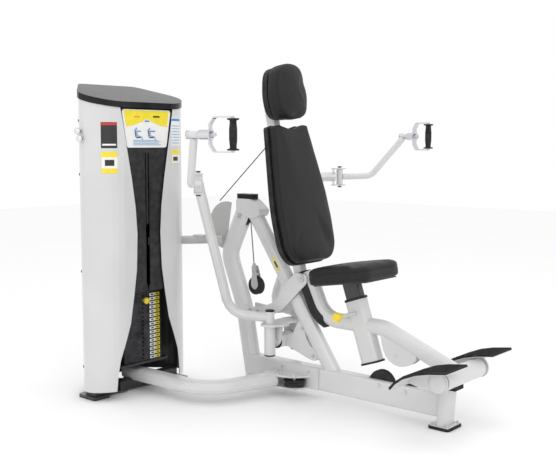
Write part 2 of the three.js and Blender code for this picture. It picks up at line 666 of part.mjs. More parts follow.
// ---------------------------------------------------------------- hanging pulley
const FLOAT_PULLEY = { at: v3(-556, 0, 506), radius: 46, width: 24 };
const HANG_X = APEX_PULLEY.at.x + APEX_PULLEY.radius - 2;
piece('floating_pulley', pulley(FLOAT_PULLEY.at, ACROSS, FLOAT_PULLEY.radius, FLOAT_PULLEY.width, 8 + RUN), blackPlastic);
piece('floating_clevis', (() => {
  const strap = roundedPolygon([
    [-582, 506, 20], [-572, 566, 4], [-576, 606, 4], [-560, 606, 4], [-546, 566, 4], [-530, 506, 20], [-556, 482, 16],
  ]);
  const cheeks = [-1, 1].map((side) => sidePlate(strap, side * 15 - 1.5, side * 15 + 1.5));
  const head = rod(v3(-566, 0, 560), v3(-573, 0, 618), 9, 12);
  const bridge = box(v3(-574, -15, 558), v3(-552, 15, 570));
  const axle = rod(v3(-556, -19, 506), v3(-556, 19, 506), 8, 12);
  const socket = rod(v3(-572, 0, 606), v3(-576, 0, 640), CABLE_RADIUS + 0.8, 8);
  return cut(join(cheeks[0], cheeks[1], head, bridge, axle), socket);
})(), greyPlate);
piece('apex_cable', tube(circleSection(CABLE_RADIUS), [v3(HANG_X, 0, 850), v3(-572.3, 0, 607)]), cable);

// ================================================================ rocking carriage
const carriageRoute = bent(
  [v3(CROSS_TUBE.x, 0, CROSS_TUBE.z), v3(226, 0, 392), v3(-116, 0, 392), v3(-218, 0, 609)],
  [150, 125], 5,
);
const backPostRoute = bent([v3(-256, 0, 548), v3(-280, 0, 640), v3(-465, 0, 1416)], [200], 4);

function carriageSolid(grow) {
  return tube(ovalSection(2 * (FRAME_HALF + grow), 76 + 2 * grow), carriageRoute);
}

function crossTubeSolid(grow) {
  const { x, z, radius, half } = CROSS_TUBE;
  return rod(v3(x, -half - grow, z), v3(x, half + grow, z), radius + grow, 24);
}

// A direction along the seat post, from the sleeve's top downwards.
const postDown = v3(Math.sin(POST_LEAN), 0, -Math.cos(POST_LEAN));
const postAt = (along) => SLEEVE_TOP.clone().addScaledVector(postDown, along);

function sleeveSolid(grow) {
  return tube(roundedSection(60 + 2 * grow, 104 + 2 * grow, 20), [postAt(-grow), postAt(SLEEVE_LENGTH + grow)], ACROSS, 1);
}

const sleeveBore = (from, to) => tube(roundedSection(46, 88, 10), [postAt(from), postAt(to)], ACROSS, 1);

const rockHole = rod(v3(ROCK_PIVOT.x, -60, ROCK_PIVOT.z), v3(ROCK_PIVOT.x, 60, ROCK_PIVOT.z), 12 + RUN, 20);
const CARRIAGE_PULLEY = { at: v3(300, 0, 279), radius: 38, width: 22 };

// Two D-shaped cheeks welded under the carriage, with the axle of its cable pulley.
function pulleyCheeks() {
  const { at } = CARRIAGE_PULLEY;
  const shape = new THREE.Shape();
  shape.moveTo(214, 366);
  shape.quadraticCurveTo(226, 236, 318, 233);
  shape.quadraticCurveTo(380, 240, 404, 278);
  shape.lineTo(404, 300);
  const cheeks = [-1, 1].map((side) => sidePlate(shape, side * 20 - 3, side * 20 + 3, 6));
  return join(cheeks[0], cheeks[1], rod(v3(at.x, -26, at.z), v3(at.x, 26, at.z), 6.4, 12));
}

function carriageTube() {
  const pinHole = rod(postAt(58).add(v3(-4, -60, 0)), postAt(58).add(v3(-4, 0, 0)), 6 + RUN, 12);
  const welded = join(carriageSolid(0), pulleyCheeks(), sleeveSolid(0));
  return cut(welded, crossTubeSolid(GAP), sleeveBore(-10, SLEEVE_LENGTH + 10), pinHole, rockHole);
}
piece('carriage_tube', carriageTube(), paint);
piece('sleeve_collar', cut(
  tube(roundedSection(64, 108, 20), [postAt(-12), postAt(-GAP)], ACROSS, 1), sleeveBore(-20, 10),
), blackPlastic);

const spineRoute = bent([v3(-30, 0, 368), v3(-134, 0, 366), v3(-252, 0, 604)], [150], 6);
const spineSolid = tube(roundedSection(70, 56, 14), spineRoute, ACROSS, 1);

function backPostSolid(grow) {
  return tube(roundedSection(50 + 2 * grow, 50 + 2 * grow, 8), backPostRoute, ACROSS, 1);
}
const spineEnd = box(v3(-106, -60, 300), v3(0, 60, 460));
piece('spine_cover', cut(spineSolid, carriageSolid(0.5), rockHole, backPostSolid(GAP), spineEnd), blackPlastic);
piece('back_post', cut(backPostSolid(0), carriageSolid(GAP), rockHole), paint);

// Cushions are drawn in their own plane, then leaned back onto the post.
const reclined = (geometry) => geometry
  .applyMatrix4(new THREE.Matrix4().makeBasis(ACROSS, UP, v3(1, 0, 0)))
  .rotateY(-RECLINE).translate(-144, 0, 628);

const BACK_OUTLINE = [
  [0, 34, 60], [128, 34, 80], [184, 100, 70], [190, 300, 160], [124, 716, 14], [92, 722, 10], [0, 698, 60],
];

function backShape(inset) {
  const half = BACK_OUTLINE.map(([y, z, radius]) => [Math.max(0, y - inset), z + (z < 300 ? inset : -inset), radius]);
  const left = half.slice(1, -1);
  const right = left.map(([y, z, radius]) => [-y, z, radius]).reverse();
  return roundedPolygon([...left, half[half.length - 1], ...right]);
}
const padOptions = (depth) => ({ depth, bevelEnabled: false, curveSegments: 5 });
piece('back_pad', reclined(new THREE.ExtrudeGeometry(backShape(0), padOptions(66)).translate(0, 0, -66)), vinyl);
piece('back_shell', cut(
  reclined(new THREE.ExtrudeGeometry(backShape(4), padOptions(26)).translate(0, 0, -66 - GAP - 26)),
  backPostSolid(GAP),
), blackPlastic);

function headShape(inset) {
  return roundedPolygon([
    [84 - inset, -136 + inset, 60], [112 - inset, -30, 90], [84 - inset, 136 - inset, 76],
    [-84 + inset, 136 - inset, 76], [-112 + inset, -30, 90], [-84 + inset, -136 + inset, 60],
  ]);
}
const HEAD_SHELL = 30;
const onHead = (geometry) => geometry
  .applyMatrix4(new THREE.Matrix4().makeBasis(ACROSS, UP, v3(1, 0, 0)))
  .rotateY(-HEAD_RECLINE).translate(-354, 0, 1472);
piece('head_pad', onHead(new THREE.ExtrudeGeometry(headShape(0), padOptions(100)).translate(0, 0, -48)), vinyl);
piece('head_shell', cut(
  onHead(new THREE.ExtrudeGeometry(headShape(10), padOptions(HEAD_SHELL)).translate(0, 0, -48 - GAP - HEAD_SHELL)),
  backPostSolid(GAP),
), greyPlate);

// Curved foot plates: the heel end turns down.
const FOOT_PROFILE = [[436, 216], [462, 246], [500, 272], [560, 297], [620, 312], [700, 324]];

const footUnderside = (grow) => FOOT_PROFILE.map(([x, z], i) => [x + (i < 2 ? 6 : 3) + grow, z - 9 - grow]).reverse();
const spaceAboveFeet = sidePlate(polygon([[420, 216], [420, 500], [720, 500], ...footUnderside(GAP)]), -300, 300);

Object.entries(SIDES).forEach(([name, side]) => {
  const low = side > 0 ? FOOT.inner : -FOOT.outer;
  const shape = polygon([...FOOT_PROFILE, ...footUnderside(0)]);
  piece(`foot_plate_${name}`, sidePlate(shape, low, low + FOOT.outer - FOOT.inner), blackRubber);
});

// Cross tube at the foot of the carriage, with a teardrop plate at each end under the foot plates.
function crossTube() {
  const { x, z, radius, half } = CROSS_TUBE;
  const drop = new THREE.Shape();
  drop.absarc(x, z, radius + 3, -0.62 * Math.PI, 0.3 * Math.PI);
  drop.lineTo(620, 306);
  drop.lineTo(450, 246);
  drop.lineTo(440, 226);
  drop.lineTo(500, 212);
  const plate = (side) => sidePlate(drop, side * (half + 20) - 4, side * (half + 20) + 4, 6);
  const stub = (side) => rod(v3(x, side * (half - 2), z), v3(x, side * (half + 18), z), 22, 20);
  return cut(join(crossTubeSolid(0), plate(-1), plate(1), stub(-1), stub(1)), spaceAboveFeet);
}
piece('cross_tube', crossTube(), paint);
piece('carriage_pulley', pulley(
  CARRIAGE_PULLEY.at, ACROSS, CARRIAGE_PULLEY.radius, CARRIAGE_PULLEY.width, 6.4 + RUN,
), blackPlastic);

// Cable from the sector up to the back post. It runs back over the sector as the carriage rocks.
const BACK_CABLE_ENDS = [v3(-811, 0, 927), v3(-452, 0, 1239.3)];
piece('back_cable', tube(circleSection(CABLE_RADIUS), BACK_CABLE_ENDS), cable);

// ---------------------------------------------------------------- seat
const SEAT = { x: 49, z: 628, length: 350, width: 362, thick: 84 };
const seatShape = roundedPolygon([
  [SEAT.length / 2, SEAT.width / 2 - 8, 80], [-SEAT.length / 2, SEAT.width / 2, 80],
  [-SEAT.length / 2, -SEAT.width / 2, 80], [SEAT.length / 2, -SEAT.width / 2 + 8, 80],
].reverse());
const onSeat = (geometry) => geometry.rotateY(-SEAT_TILT).translate(SEAT.x, 0, SEAT.z);
piece('seat_pad', onSeat(floorPlate(seatShape, -SEAT.thick / 2 + 6, SEAT.thick / 2, 5)), vinyl);

function seatPost() {
  const slab = onSeat(box(v3(-150, -120, -SEAT.thick / 2), v3(150, 120, -SEAT.thick / 2 + 6 - GAP)));
  const above = onSeat(box(v3(-200, -200, -SEAT.thick / 2 + 3), v3(200, 200, 100)));
  const post = cut(tube(roundedSection(44, 86, 9), [postAt(-160), postAt(190)], ACROSS, 1), above);
  const groove = tube(polygon([[-8, -6.8], [-30, -6.8], [-30, 6.8], [-8, 6.8]].reverse()), [
    postAt(46).add(v3(-4, 0, 0)), postAt(200).add(v3(-4, 0, 0)),
  ]);
  return cut(join(slab, post), groove);
}
piece('seat_post', seatPost(), blackPlastic);

piece('pull_pin', (() => {
  const at = postAt(58).add(v3(-4, 0, 0));
  const point = (y) => at.clone().add(v3(0, y, 0));
  const knob = spun([[0, 0], [13, 0], [12, 12], [20, 20], [23, 30], [20, 40], [0, 42]], point(-138), v3(0, -1, 0), 20);
  return join(rod(point(-10), point(-140), 6, 12), rod(point(-31), point(-134), 9, 14), knob);
})(), yellow);

// ================================================================ press yoke and arms
function yoke() {
  const shaft = rod(v3(PRESS_PIVOT.x, -74, PRESS_PIVOT.z), v3(PRESS_PIVOT.x, 74, PRESS_PIVOT.z), 15);
  const web = (side) => sidePlate(
    roundedPolygon([[-418, 250, 20], [-430, 344, 4], [-330, 344, 4], [-342, 250, 20], [-380, 218, 20]]),
    side * 62 - 5, side * 62 + 5,
  );
  const deck = floorPlate(roundedPolygon([
    [-340, -22, 6], [-310, -34, 6], [-304, -60, 16], [-346, -142, 26], [-414, -142, 26], [-436, -60, 26],
    [-430, -48, 4], [-430, 48, 4], [-436, 60, 26], [-414, 142, 26], [-346, 142, 26], [-304, 60, 16],
    [-310, 34, 6], [-340, 22, 6],
  ]), 338, 348, 2);
  const socket = (side) => rod(v3(-380, side * SWIVEL_Y, 196), v3(-380, side * SWIVEL_Y, 348), 28, 20);
  const pivot = (side) => rod(v3(-380, side * SWIVEL_Y, 340), v3(-380, side * SWIVEL_Y, 415), 13, 16);
  return join(shaft, web(-1), web(1), deck, socket(-1), socket(1), pivot(-1), pivot(1));
}
piece('yoke', yoke(), paint);

const turnOut = v3(0.72, 0.69, 0).normalize();
const hubAxis = GRIP.clone().sub(HUB).setZ(0).normalize();
const armRoute = bent([
  v3(-380, SWIVEL_Y, ARM_Z), v3(-590, 159, ARM_Z), CLEVIS.clone().addScaledVector(turnOut, -130),
  CLEVIS.clone().addScaledVector(turnOut, -24),
], [90, 70], 4);

function armSolid() {
  const sleeveTube = rod(v3(-380, SWIVEL_Y, 348 + GAP), v3(-380, SWIVEL_Y, 408), 23, 18);
  const bore = rod(v3(-380, SWIVEL_Y, 340), v3(-380, SWIVEL_Y, 420), 13 + RUN, 16);
  const strap = (z) => floorPlate(ovalSection(78, 40), z, z + 6)
    .rotateZ(Math.atan2(turnOut.y, turnOut.x)).translate(CLEVIS.x - 6 * turnOut.x, CLEVIS.y - 6 * turnOut.y, 0);
  const bridgeAt = CLEVIS.clone().addScaledVector(turnOut, -34);
  const bridge = new THREE.BoxGeometry(7, 40, 94).rotateZ(Math.atan2(turnOut.y, turnOut.x))
    .translate(bridgeAt.x, bridgeAt.y, bridgeAt.z);
  const pin = rod(CLEVIS.clone().add(v3(0, 0, -52)), CLEVIS.clone().add(v3(0, 0, 52)), 8, 14);
  const arm = tube(circleSection(24.5), armRoute, UP, 6);
  return cut(
    join(cut(arm, rod(v3(-380, SWIVEL_Y, 340), v3(-380, SWIVEL_Y, 420), 22, 18)), sleeveTube,
      strap(CLEVIS.z + 41), strap(CLEVIS.z - 47), bridge, pin),
    bore,
  );
}

function handleTube() {
  const bush = cut(
    rod(CLEVIS.clone().add(v3(0, 0, -40)), CLEVIS.clone().add(v3(0, 0, 40)), 17, 20),
    rod(CLEVIS.clone().add(v3(0, 0, -50)), CLEVIS.clone().add(v3(0, 0, 50)), 8 + RUN, 14),
  );
  const stations = bent([
    CLEVIS.clone().addScaledVector(turnOut, 13), v3(-327, 676, 1049), v3(-195, 782, 1250),
  ], [60], 4);
  const clear = rod(CLEVIS.clone().add(v3(0, 0, -50)), CLEVIS.clone().add(v3(0, 0, 50)), 12, 14);
  const stub = rod(HUB.clone().addScaledVector(hubAxis, -22), HUB.clone().addScaledVector(hubAxis, 24), 15, 18);
  const spindle = rod(HUB.clone(), HUB.clone().addScaledVector(hubAxis, 104), 8, 14);
  return join(bush, cut(tube(circleSection(16.5), stations, UP, 7), clear), stub, spindle);
}

function stirrup() {
  const at = (along, z) => HUB.clone().addScaledVector(hubAxis, along).setZ(GRIP.z + z);
  const reach = GRIP.clone().sub(HUB).setZ(0).length();
  const half = GRIP_LENGTH / 2 + 10;
  const side = hubAxis.clone().cross(UP).normalize();
  const stations = bent([
    at(reach, half - 4), at(98, half - 4), at(78, half - 34), at(78, -half + 34), at(98, -half + 4), at(reach, -half + 4),
  ], [14, 14, 14, 14], 2);
  const strap = tube(polygon([[-13, -3], [13, -3], [13, 3], [-13, 3]]), stations, side, 1);
  const hub = spun([[0, 26 + GAP], [19, 26 + GAP], [20, 30], [20, 74], [23, 76], [23, 84], [0, 84]], at(0, 0), hubAxis, 18);
  const bar = rod(at(reach, -half + 4), at(reach, half - 4), 8, 14);
  const bore = rod(at(0, 0), at(110, 0), 8 + RUN, 14);
  return cut(join(strap, hub, bar), bore);
}

function grip() {
  const low = GRIP.clone().setZ(GRIP.z - GRIP_LENGTH / 2);
  const profile = [
    [8 + RUN, 0], [24, 0], [25, 3], [24, 6], [15, 8], [13.5, 14], [16.5, 44], [16.5, 84], [13.5, 114], [15, 120],
    [24, 122], [25, 125], [24, 128], [8 + RUN, 128], [8 + RUN, 0],
  ];
  return spun(profile, low, UP, 18);
}

Object.entries(SIDES).forEach(([name, side]) => {
  piece(`arm_${name}`, mirrored(armSolid(), side), paint);
  piece(`handle_tube_${name}`, mirrored(handleTube(), side), paint);
  piece(`stirrup_${name}`, mirrored(stirrup(), side), steel);
  piece(`grip_${name}`, mirrored(grip(), side), blackRubber);
});

// ================================================================ origin under the middle of the machine
const whole = new THREE.Box3().setFromObject(machine);
machine.position.set(-(whole.min.x + whole.max.x) / 2, -(whole.min.y + whole.max.y) / 2, -whole.min.z);

export default machine;
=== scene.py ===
"""Chest press machine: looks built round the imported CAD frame. Metres, +Z up, +X where the user faces."""

import json
import math

import bmesh
import bpy
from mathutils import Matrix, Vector


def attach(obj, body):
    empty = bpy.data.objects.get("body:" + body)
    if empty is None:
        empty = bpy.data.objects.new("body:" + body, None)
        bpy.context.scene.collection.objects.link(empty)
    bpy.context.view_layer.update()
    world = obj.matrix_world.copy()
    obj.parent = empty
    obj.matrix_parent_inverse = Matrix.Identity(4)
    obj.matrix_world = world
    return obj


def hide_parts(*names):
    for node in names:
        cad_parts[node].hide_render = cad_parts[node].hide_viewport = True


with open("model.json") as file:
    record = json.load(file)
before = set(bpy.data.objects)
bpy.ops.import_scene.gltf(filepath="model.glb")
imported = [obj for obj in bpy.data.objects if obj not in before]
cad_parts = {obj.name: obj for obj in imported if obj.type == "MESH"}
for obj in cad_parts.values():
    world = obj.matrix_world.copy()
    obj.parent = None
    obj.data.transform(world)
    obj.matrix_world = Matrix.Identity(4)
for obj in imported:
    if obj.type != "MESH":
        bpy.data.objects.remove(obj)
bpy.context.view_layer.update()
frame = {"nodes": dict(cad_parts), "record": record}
NODES = frame["nodes"]

# ---------------------------------------------------------------- dimensions shared with the CAD part
SHIFT = Vector((0.216, 0.0, 0.0))  # from the part's drawing origin to the row frame
MM = 0.001
TOWER_Y = -469.0
RECLINE = math.radians(13.8)
HEAD_RECLINE = math.radians(8.0)
SEAT_TILT = math.radians(9.0)
POST_LEAN = math.radians(19.2)
SIDES = {"right": -1, "left": 1}
PLATE_LOW, PLATE_PITCH, PLATE_COUNT, PIN_PLATE = 151.0, 21.0, 16, 14
PLATE_FRONT = -890.0
TOWER_MIDDLE_X = -985.0
KNOB_START_Y = -137.0
PLAN = [
    (-835, 150), (-840, 185), (-850, 213), (-866, 240), (-888, 268), (-912, 289), (-938, 299), (-962, 299),
    (-985, 290), (-1008, 274), (-1030, 255), (-1056, 233), (-1084, 212), (-1110, 190), (-1126, 170),
    (-1130, 150),
]
BACK_OUTLINE = [
    (128, 34, 80), (184, 100, 70), (190, 300, 160), (124, 716, 14), (92, 722, 10), (0, 698, 60),
    (-92, 722, 10), (-124, 716, 14), (-190, 300, 160), (-184, 100, 70), (-128, 34, 80),
]
HEAD_OUTLINE = [
    (84, -136, 60), (112, -30, 90), (84, 136, 76), (-84, 136, 76), (-112, -30, 90), (-84, -136, 60),
]
SEAT_OUTLINE = [(175, -173, 80), (175, 173, 80), (-175, 181, 80), (-175, -181, 80)]
BACK_AT, BACK_THICK = (-144.0, 628.0), 66.0
HEAD_AT, HEAD_LOW, HEAD_THICK = (-354.0, 1472.0), -48.0, 100.0
SEAT_AT, SEAT_LOW, SEAT_THICK = (49.0, 628.0), -36.0, 78.0
FORK_TOP = 112.0
ARM_X, ARM_Y = -380, 100  # the press pivot, and each arm's distance from the middle
LEG_DOWN = Vector((0.563, 0.0, -0.8265))  # direction of the front leg tubes
SLEEVE_TOP, SLEEVE_LENGTH = (64, 0, 502), 289.4
HUB_AT = (-189, 790, 1260)  # the left handle's hub
HUB_AXIS = (0.9647, -0.2632)  # x and y of the left handle's axis
PLACARD_FRONT = -839.6

# ---------------------------------------------------------------- sizes of the details added here
SCREW_DISTANCE = 250  # round the casing's plan from its front corner
PRINT_THICK = 0.35
PRINT_STEP = 0.45  # from one printed layer to the next


def place(x, y, z):
    """A point given in millimetres in the part's drawing frame, in metres in the row frame."""
    return Vector((x, y, z)) * MM + SHIFT


# ---------------------------------------------------------------- camera, floor and light
CAMERA_AT = (2435.6, -3331.8, 1227.1)
CAMERA_PITCH = math.radians(5.53)
CAMERA_YAW = math.radians(40.53)
LENS_MM, SENSOR_MM = 57.69, 36.0


def make_camera():
    data = bpy.data.cameras.new("camera")
    data.sensor_width = SENSOR_MM
    data.lens = LENS_MM
    data.clip_end = 60.0
    camera = bpy.data.objects.new("camera", data)
    camera.location = place(*CAMERA_AT)
    camera.rotation_euler = (math.pi / 2 - CAMERA_PITCH, 0.0, CAMERA_YAW)
    bpy.context.scene.collection.objects.link(camera)
    bpy.context.scene.camera = camera


def area_light(name, location, target, size, power):
    data = bpy.data.lights.new(name, "AREA")
    data.shape = "DISK"
    data.size = size
    data.energy = power
    light = bpy.data.objects.new(name, data)
    light.location = location
    light.rotation_euler = (Vector(target) - Vector(location)).to_track_quat("-Z", "Y").to_euler()
    bpy.context.scene.collection.objects.link(light)


def make_studio():
    world = bpy.data.worlds.new("studio")
    world.use_nodes = True
    world.node_tree.nodes["Background"].inputs[0].default_value = (1.0, 1.0, 1.0, 1.0)
    world.node_tree.nodes["Background"].inputs[1].default_value = 1.0
    bpy.context.scene.world = world
    bpy.context.scene.view_settings.view_transform = "Standard"
    area_light("key", (3.2, -2.6, 3.6), (0.0, 0.0, 0.8), 2.4, 34.0)
    area_light("fill", (-1.2, -4.2, 2.2), (-0.4, 0.0, 0.8), 2.6, 6.0)
    area_light("top", (0.2, 0.6, 4.2), (0.0, 0.0, 0.6), 3.0, 14.0)
    floor = mesh_piece("floor", *grid(24.0, 24.0))
    floor.data.materials.append(floor_material())


def grid(width, depth):
    x, y = width / 2, depth / 2
    return [(-x, -y, -0.0005), (x, -y, -0.0005), (x, y, -0.0005), (-x, y, -0.0005)], [(0, 1, 2, 3)]


# ---------------------------------------------------------------- mesh helpers
def mesh_piece(name, vertices, faces, smooth=False):
    mesh = bpy.data.meshes.new(name)
    mesh.from_pydata([tuple(v) for v in vertices], [], faces)
    mesh.update()
    obj = bpy.data.objects.new(name, mesh)
    bpy.context.scene.collection.objects.link(obj)
    fix_normals(obj)
    if smooth:
        for polygon in mesh.polygons:
            polygon.use_smooth = True
    return obj


def fix_normals(obj):
    work = bmesh.new()
    work.from_mesh(obj.data)
    bmesh.ops.recalc_face_normals(work, faces=work.faces)
    work.to_mesh(obj.data)
    work.free()


def soften(obj, width, segments=2):
    """Rounded edges on a hard piece."""
    bevel = obj.modifiers.new("bevel", "BEVEL")
    bevel.width = width
    bevel.segments = segments
    bevel.limit_method = "ANGLE"
    bevel.angle_limit = math.radians(40)


class Builder:
    """Collects simple closed solids that make up one piece."""

    def __init__(self):
        self.vertices = []
        self.faces = []

    def add(self, vertices, faces):
        start = len(self.vertices)
        self.vertices += [Vector(v) for v in vertices]
        self.faces += [tuple(i + start for i in face) for face in faces]

    def ring_stack(self, rings):
        """Closed skin through rings of equal length, with a fan at each end."""
        count = len(rings[0])
        vertices = [v for ring in rings for v in ring]
        faces = []
        for k in range(len(rings) - 1):
            for i in range(count):
                j = (i + 1) % count
                a, b = k * count, (k + 1) * count
                faces.append((a + i, a + j, b + j, b + i))
        faces.append(tuple(range(count))[::-1])
        last = (len(rings) - 1) * count
        faces.append(tuple(last + i for i in range(count)))
        self.add(vertices, faces)

    def lathe(self, at, axis, profile, sides=24, phase=0.0):
        """profile holds (radius, distance along the axis) pairs, in millimetres."""
        axis = Vector(axis).normalized()
        side = axis.orthogonal().normalized()
        other = axis.cross(side)
        rings = []
        for radius, along in profile:
            centre = Vector(at) + axis * along * MM
            ring = []
            for i in range(sides):
                angle = 2 * math.pi * i / sides + phase
                ring.append(centre + (side * math.cos(angle) + other * math.sin(angle)) * radius * MM)
            rings.append(ring)
        self.ring_stack(rings)

    def tube(self, points, radius, sides=10):
        points = [Vector(p) for p in points]
        normal = (points[1] - points[0]).orthogonal().normalized()
        rings = []
        for i, point in enumerate(points):
            ahead = points[min(i + 1, len(points) - 1)] - points[max(i - 1, 0)]
            tangent = ahead.normalized()
            normal = (normal - tangent * normal.dot(tangent)).normalized()
            other = tangent.cross(normal)
            rings.append([
                point + (normal * math.cos(a) + other * math.sin(a)) * radius
                for a in (2 * math.pi * k / sides for k in range(sides))
            ])
        self.ring_stack(rings)

    def slab(self, outline, origin, right, up, thick):
        """A flat plate: outline in millimetres in the plane of right and up, thick along their normal."""
        right, up = Vector(right).normalized(), Vector(up).normalized()
        normal = right.cross(up)
        ring = [Vector(origin) + right * u * MM + up * v * MM for u, v in outline]
        self.ring_stack([ring, [p + normal * thick * MM for p in ring]])

    def piece(self, name, smooth=False):
        return mesh_piece(name, self.vertices, self.faces, smooth)


def rounded_outline(points, steps=5, spacing=16.0):
    """The outline of a polygon with quadratic corners; points are (u, v, corner size)."""
    count = len(points)
    outline = []
    for i, (u, v, size) in enumerate(points):
        corner = Vector((u, v))
        before = Vector(points[i - 1][:2]) - corner
        after = Vector(points[(i + 1) % count][:2]) - corner
        trim = min(size, 0.48 * before.length, 0.48 * after.length)
        start = corner + before.normalized() * trim
        end = corner + after.normalized() * trim
        for k in range(steps + 1):
            t = k / steps
            outline.append(start * (1 - t) ** 2 + corner * 2 * t * (1 - t) + end * t ** 2)
    filled = []
    for a, b in zip(outline, outline[1:] + outline[:1]):
        pieces = max(1, round((b - a).length / spacing))
        filled += [a.lerp(b, k / pieces) for k in range(pieces) if (b - a).length > 0.5]
    return filled


def inset_outline(outline, distance):
    """Every point moved inward along its own normal; the outline runs anticlockwise or clockwise alike."""
    area = sum(a.x * b.y - b.x * a.y for a, b in zip(outline, outline[1:] + outline[:1]))
    sign = 1.0 if area > 0 else -1.0
    moved = []
    for i, point in enumerate(outline):
        along = (outline[(i + 1) % len(outline)] - outline[i - 1]).normalized()
        moved.append(point + Vector((-along.y, along.x)) * sign * distance)
    return moved


def rectangle(u, v, width, height):
    """The corners of a rectangle about its middle."""
    left, right, low, high = u - width / 2, u + width / 2, v - height / 2, v + height / 2
    return [(left, low), (right, low), (right, high), (left, high)]


def ellipse(u, v, across, upward, sides):
    """Points round an ellipse about its middle."""
    angles = [2 * math.pi * k / sides for k in range(sides)]
    return [(u + across * math.cos(a), v + upward * math.sin(a)) for a in angles]


def ring_tube(loops):
    """Vertices and faces of a closed skin that runs through equal loops and back to the first."""
    count = len(loops[0])
    faces = []
    for k in range(len(loops)):
        a, b = k * count, (k + 1) % len(loops) * count
        for i in range(count):
            j = (i + 1) % count
            faces.append((a + i, a + j, b + j, b + i))
    return [vertex for loop in loops for vertex in loop], faces


# ---------------------------------------------------------------- materials
class Look:
    """A procedural material: a Principled shader fed by noise in the object's own coordinates."""

    def __init__(self, name, colour, roughness, metallic=0.0):
        self.material = bpy.data.materials.new(name)
        self.material.use_nodes = True
        self.tree = self.material.node_tree
        self.shader = self.tree.nodes["Principled BSDF"]
        self.shader.inputs["Base Color"].default_value = (*colour, 1.0)
        self.shader.inputs["Roughness"].default_value = roughness
        self.shader.inputs["Metallic"].default_value = metallic
        self.coords = self.tree.nodes.new("ShaderNodeTexCoord")
        self.height = None

    def node(self, kind, **values):
        node = self.tree.nodes.new(kind)
        for key, value in values.items():
            node.inputs[key.replace("_", " ")].default_value = value
        return node

    def link(self, source, target):
        self.tree.links.new(source, target)

    def stretched(self, scale):
        mapping = self.tree.nodes.new("ShaderNodeMapping")
        mapping.inputs["Scale"].default_value = scale
        self.link(self.coords.outputs["Object"], mapping.inputs["Vector"])
        return mapping.outputs["Vector"]

    def noise(self, scale, detail=3.0, stretch=(1.0, 1.0, 1.0)):
        noise = self.node("ShaderNodeTexNoise", Scale=scale, Detail=detail)
        self.link(self.stretched(stretch), noise.inputs["Vector"])
        return noise.outputs["Fac"]

    def cells(self, scale):
        cells = self.node("ShaderNodeTexVoronoi", Scale=scale)
        self.link(self.coords.outputs["Object"], cells.inputs["Vector"])
        return cells.outputs["Distance"]

    def ramp(self, source, stops):
        ramp = self.tree.nodes.new("ShaderNodeValToRGB")
        elements = ramp.color_ramp.elements
        while len(elements) < len(stops):
            elements.new(0.5)
        for element, (place_at, colour) in zip(elements, stops):
            element.position = place_at
            element.color = (*colour, 1.0)
        self.link(source, ramp.inputs["Fac"])
        return ramp.outputs["Color"]

    def colour(self, source, low, high, start=0.35, end=0.65):
        self.link(self.ramp(source, [(start, low), (end, high)]), self.shader.inputs["Base Color"])

    def roughness(self, source, low, high):
        spread = self.node("ShaderNodeMapRange", To_Min=low, To_Max=high)
        self.link(source, spread.inputs["Value"])
        self.link(spread.outputs["Result"], self.shader.inputs["Roughness"])

    def bump(self, source, strength, distance):
        bump = self.node("ShaderNodeBump", Strength=strength, Distance=distance)
        self.link(source, bump.inputs["Height"])
        if self.height is not None:
            self.link(self.height, bump.inputs["Normal"])
        self.height = bump.outputs["Normal"]
        self.link(self.height, self.shader.inputs["Normal"])

    def set(self, **values):
        for key, value in values.items():
            self.shader.inputs[key.replace("_", " ")].default_value = value
        return self


def floor_material():
    look = Look("floor_paint", (0.95, 0.95, 0.95), 0.6)
    look.colour(look.noise(1.4), (0.955, 0.955, 0.955), (0.965, 0.965, 0.965))
    look.bump(look.noise(60.0), 0.02, 0.001)
    return look.set(Specular_IOR_Level=0.0).material


def powder_coat(name, low, high):
    look = Look(name, high, 0.3)
    look.colour(look.noise(5.0, 2.0), low, high)
    look.roughness(look.noise(38.0, 2.0), 0.27, 0.33)
    look.bump(look.noise(700.0, 2.0), 0.02, 0.0003)
    return look.set(Coat_Weight=0.35, Coat_Roughness=0.12).material


def moulded_plastic(name, low, high, roughness=0.42):
    look = Look(name, high, roughness)
    look.colour(look.noise(30.0, 4.0), low, high)
    look.roughness(look.noise(90.0, 3.0), roughness - 0.06, roughness + 0.1)
    look.bump(look.cells(1500.0), 0.12, 0.0003)
    return look.set(Specular_IOR_Level=0.25).material


def vinyl_leather():
    look = Look("vinyl_leather", (0.018, 0.018, 0.019), 0.5)
    look.colour(look.noise(420.0, 3.0), (0.006, 0.006, 0.007), (0.024, 0.024, 0.025), 0.35, 0.7)
    look.roughness(look.noise(160.0, 4.0), 0.36, 0.6)
    look.bump(look.cells(320.0), 0.6, 0.0016)
    look.bump(look.noise(900.0, 2.0), 0.18, 0.0004)
    return look.set(Specular_IOR_Level=0.28).material


def ribbed_rubber():
    look = Look("ribbed_rubber", (0.02, 0.02, 0.02), 0.66)
    look.colour(look.noise(40.0), (0.012, 0.012, 0.012), (0.032, 0.032, 0.032))
    waves = look.node("ShaderNodeTexWave", Scale=34.0, Distortion=0.0)
    waves.bands_direction = "Y"
    look.link(look.coords.outputs["Object"], waves.inputs["Vector"])
    look.bump(waves.outputs["Fac"], 0.5, 0.0015)
    look.bump(look.noise(600.0), 0.2, 0.0004)
    return look.set(Specular_IOR_Level=0.2).material


def soft_rubber():
    look = Look("soft_rubber", (0.02, 0.02, 0.02), 0.7)
    look.colour(look.noise(50.0), (0.012, 0.012, 0.012), (0.03, 0.03, 0.03))
    look.bump(look.cells(700.0), 0.3, 0.0006)
    return look.set(Specular_IOR_Level=0.2).material


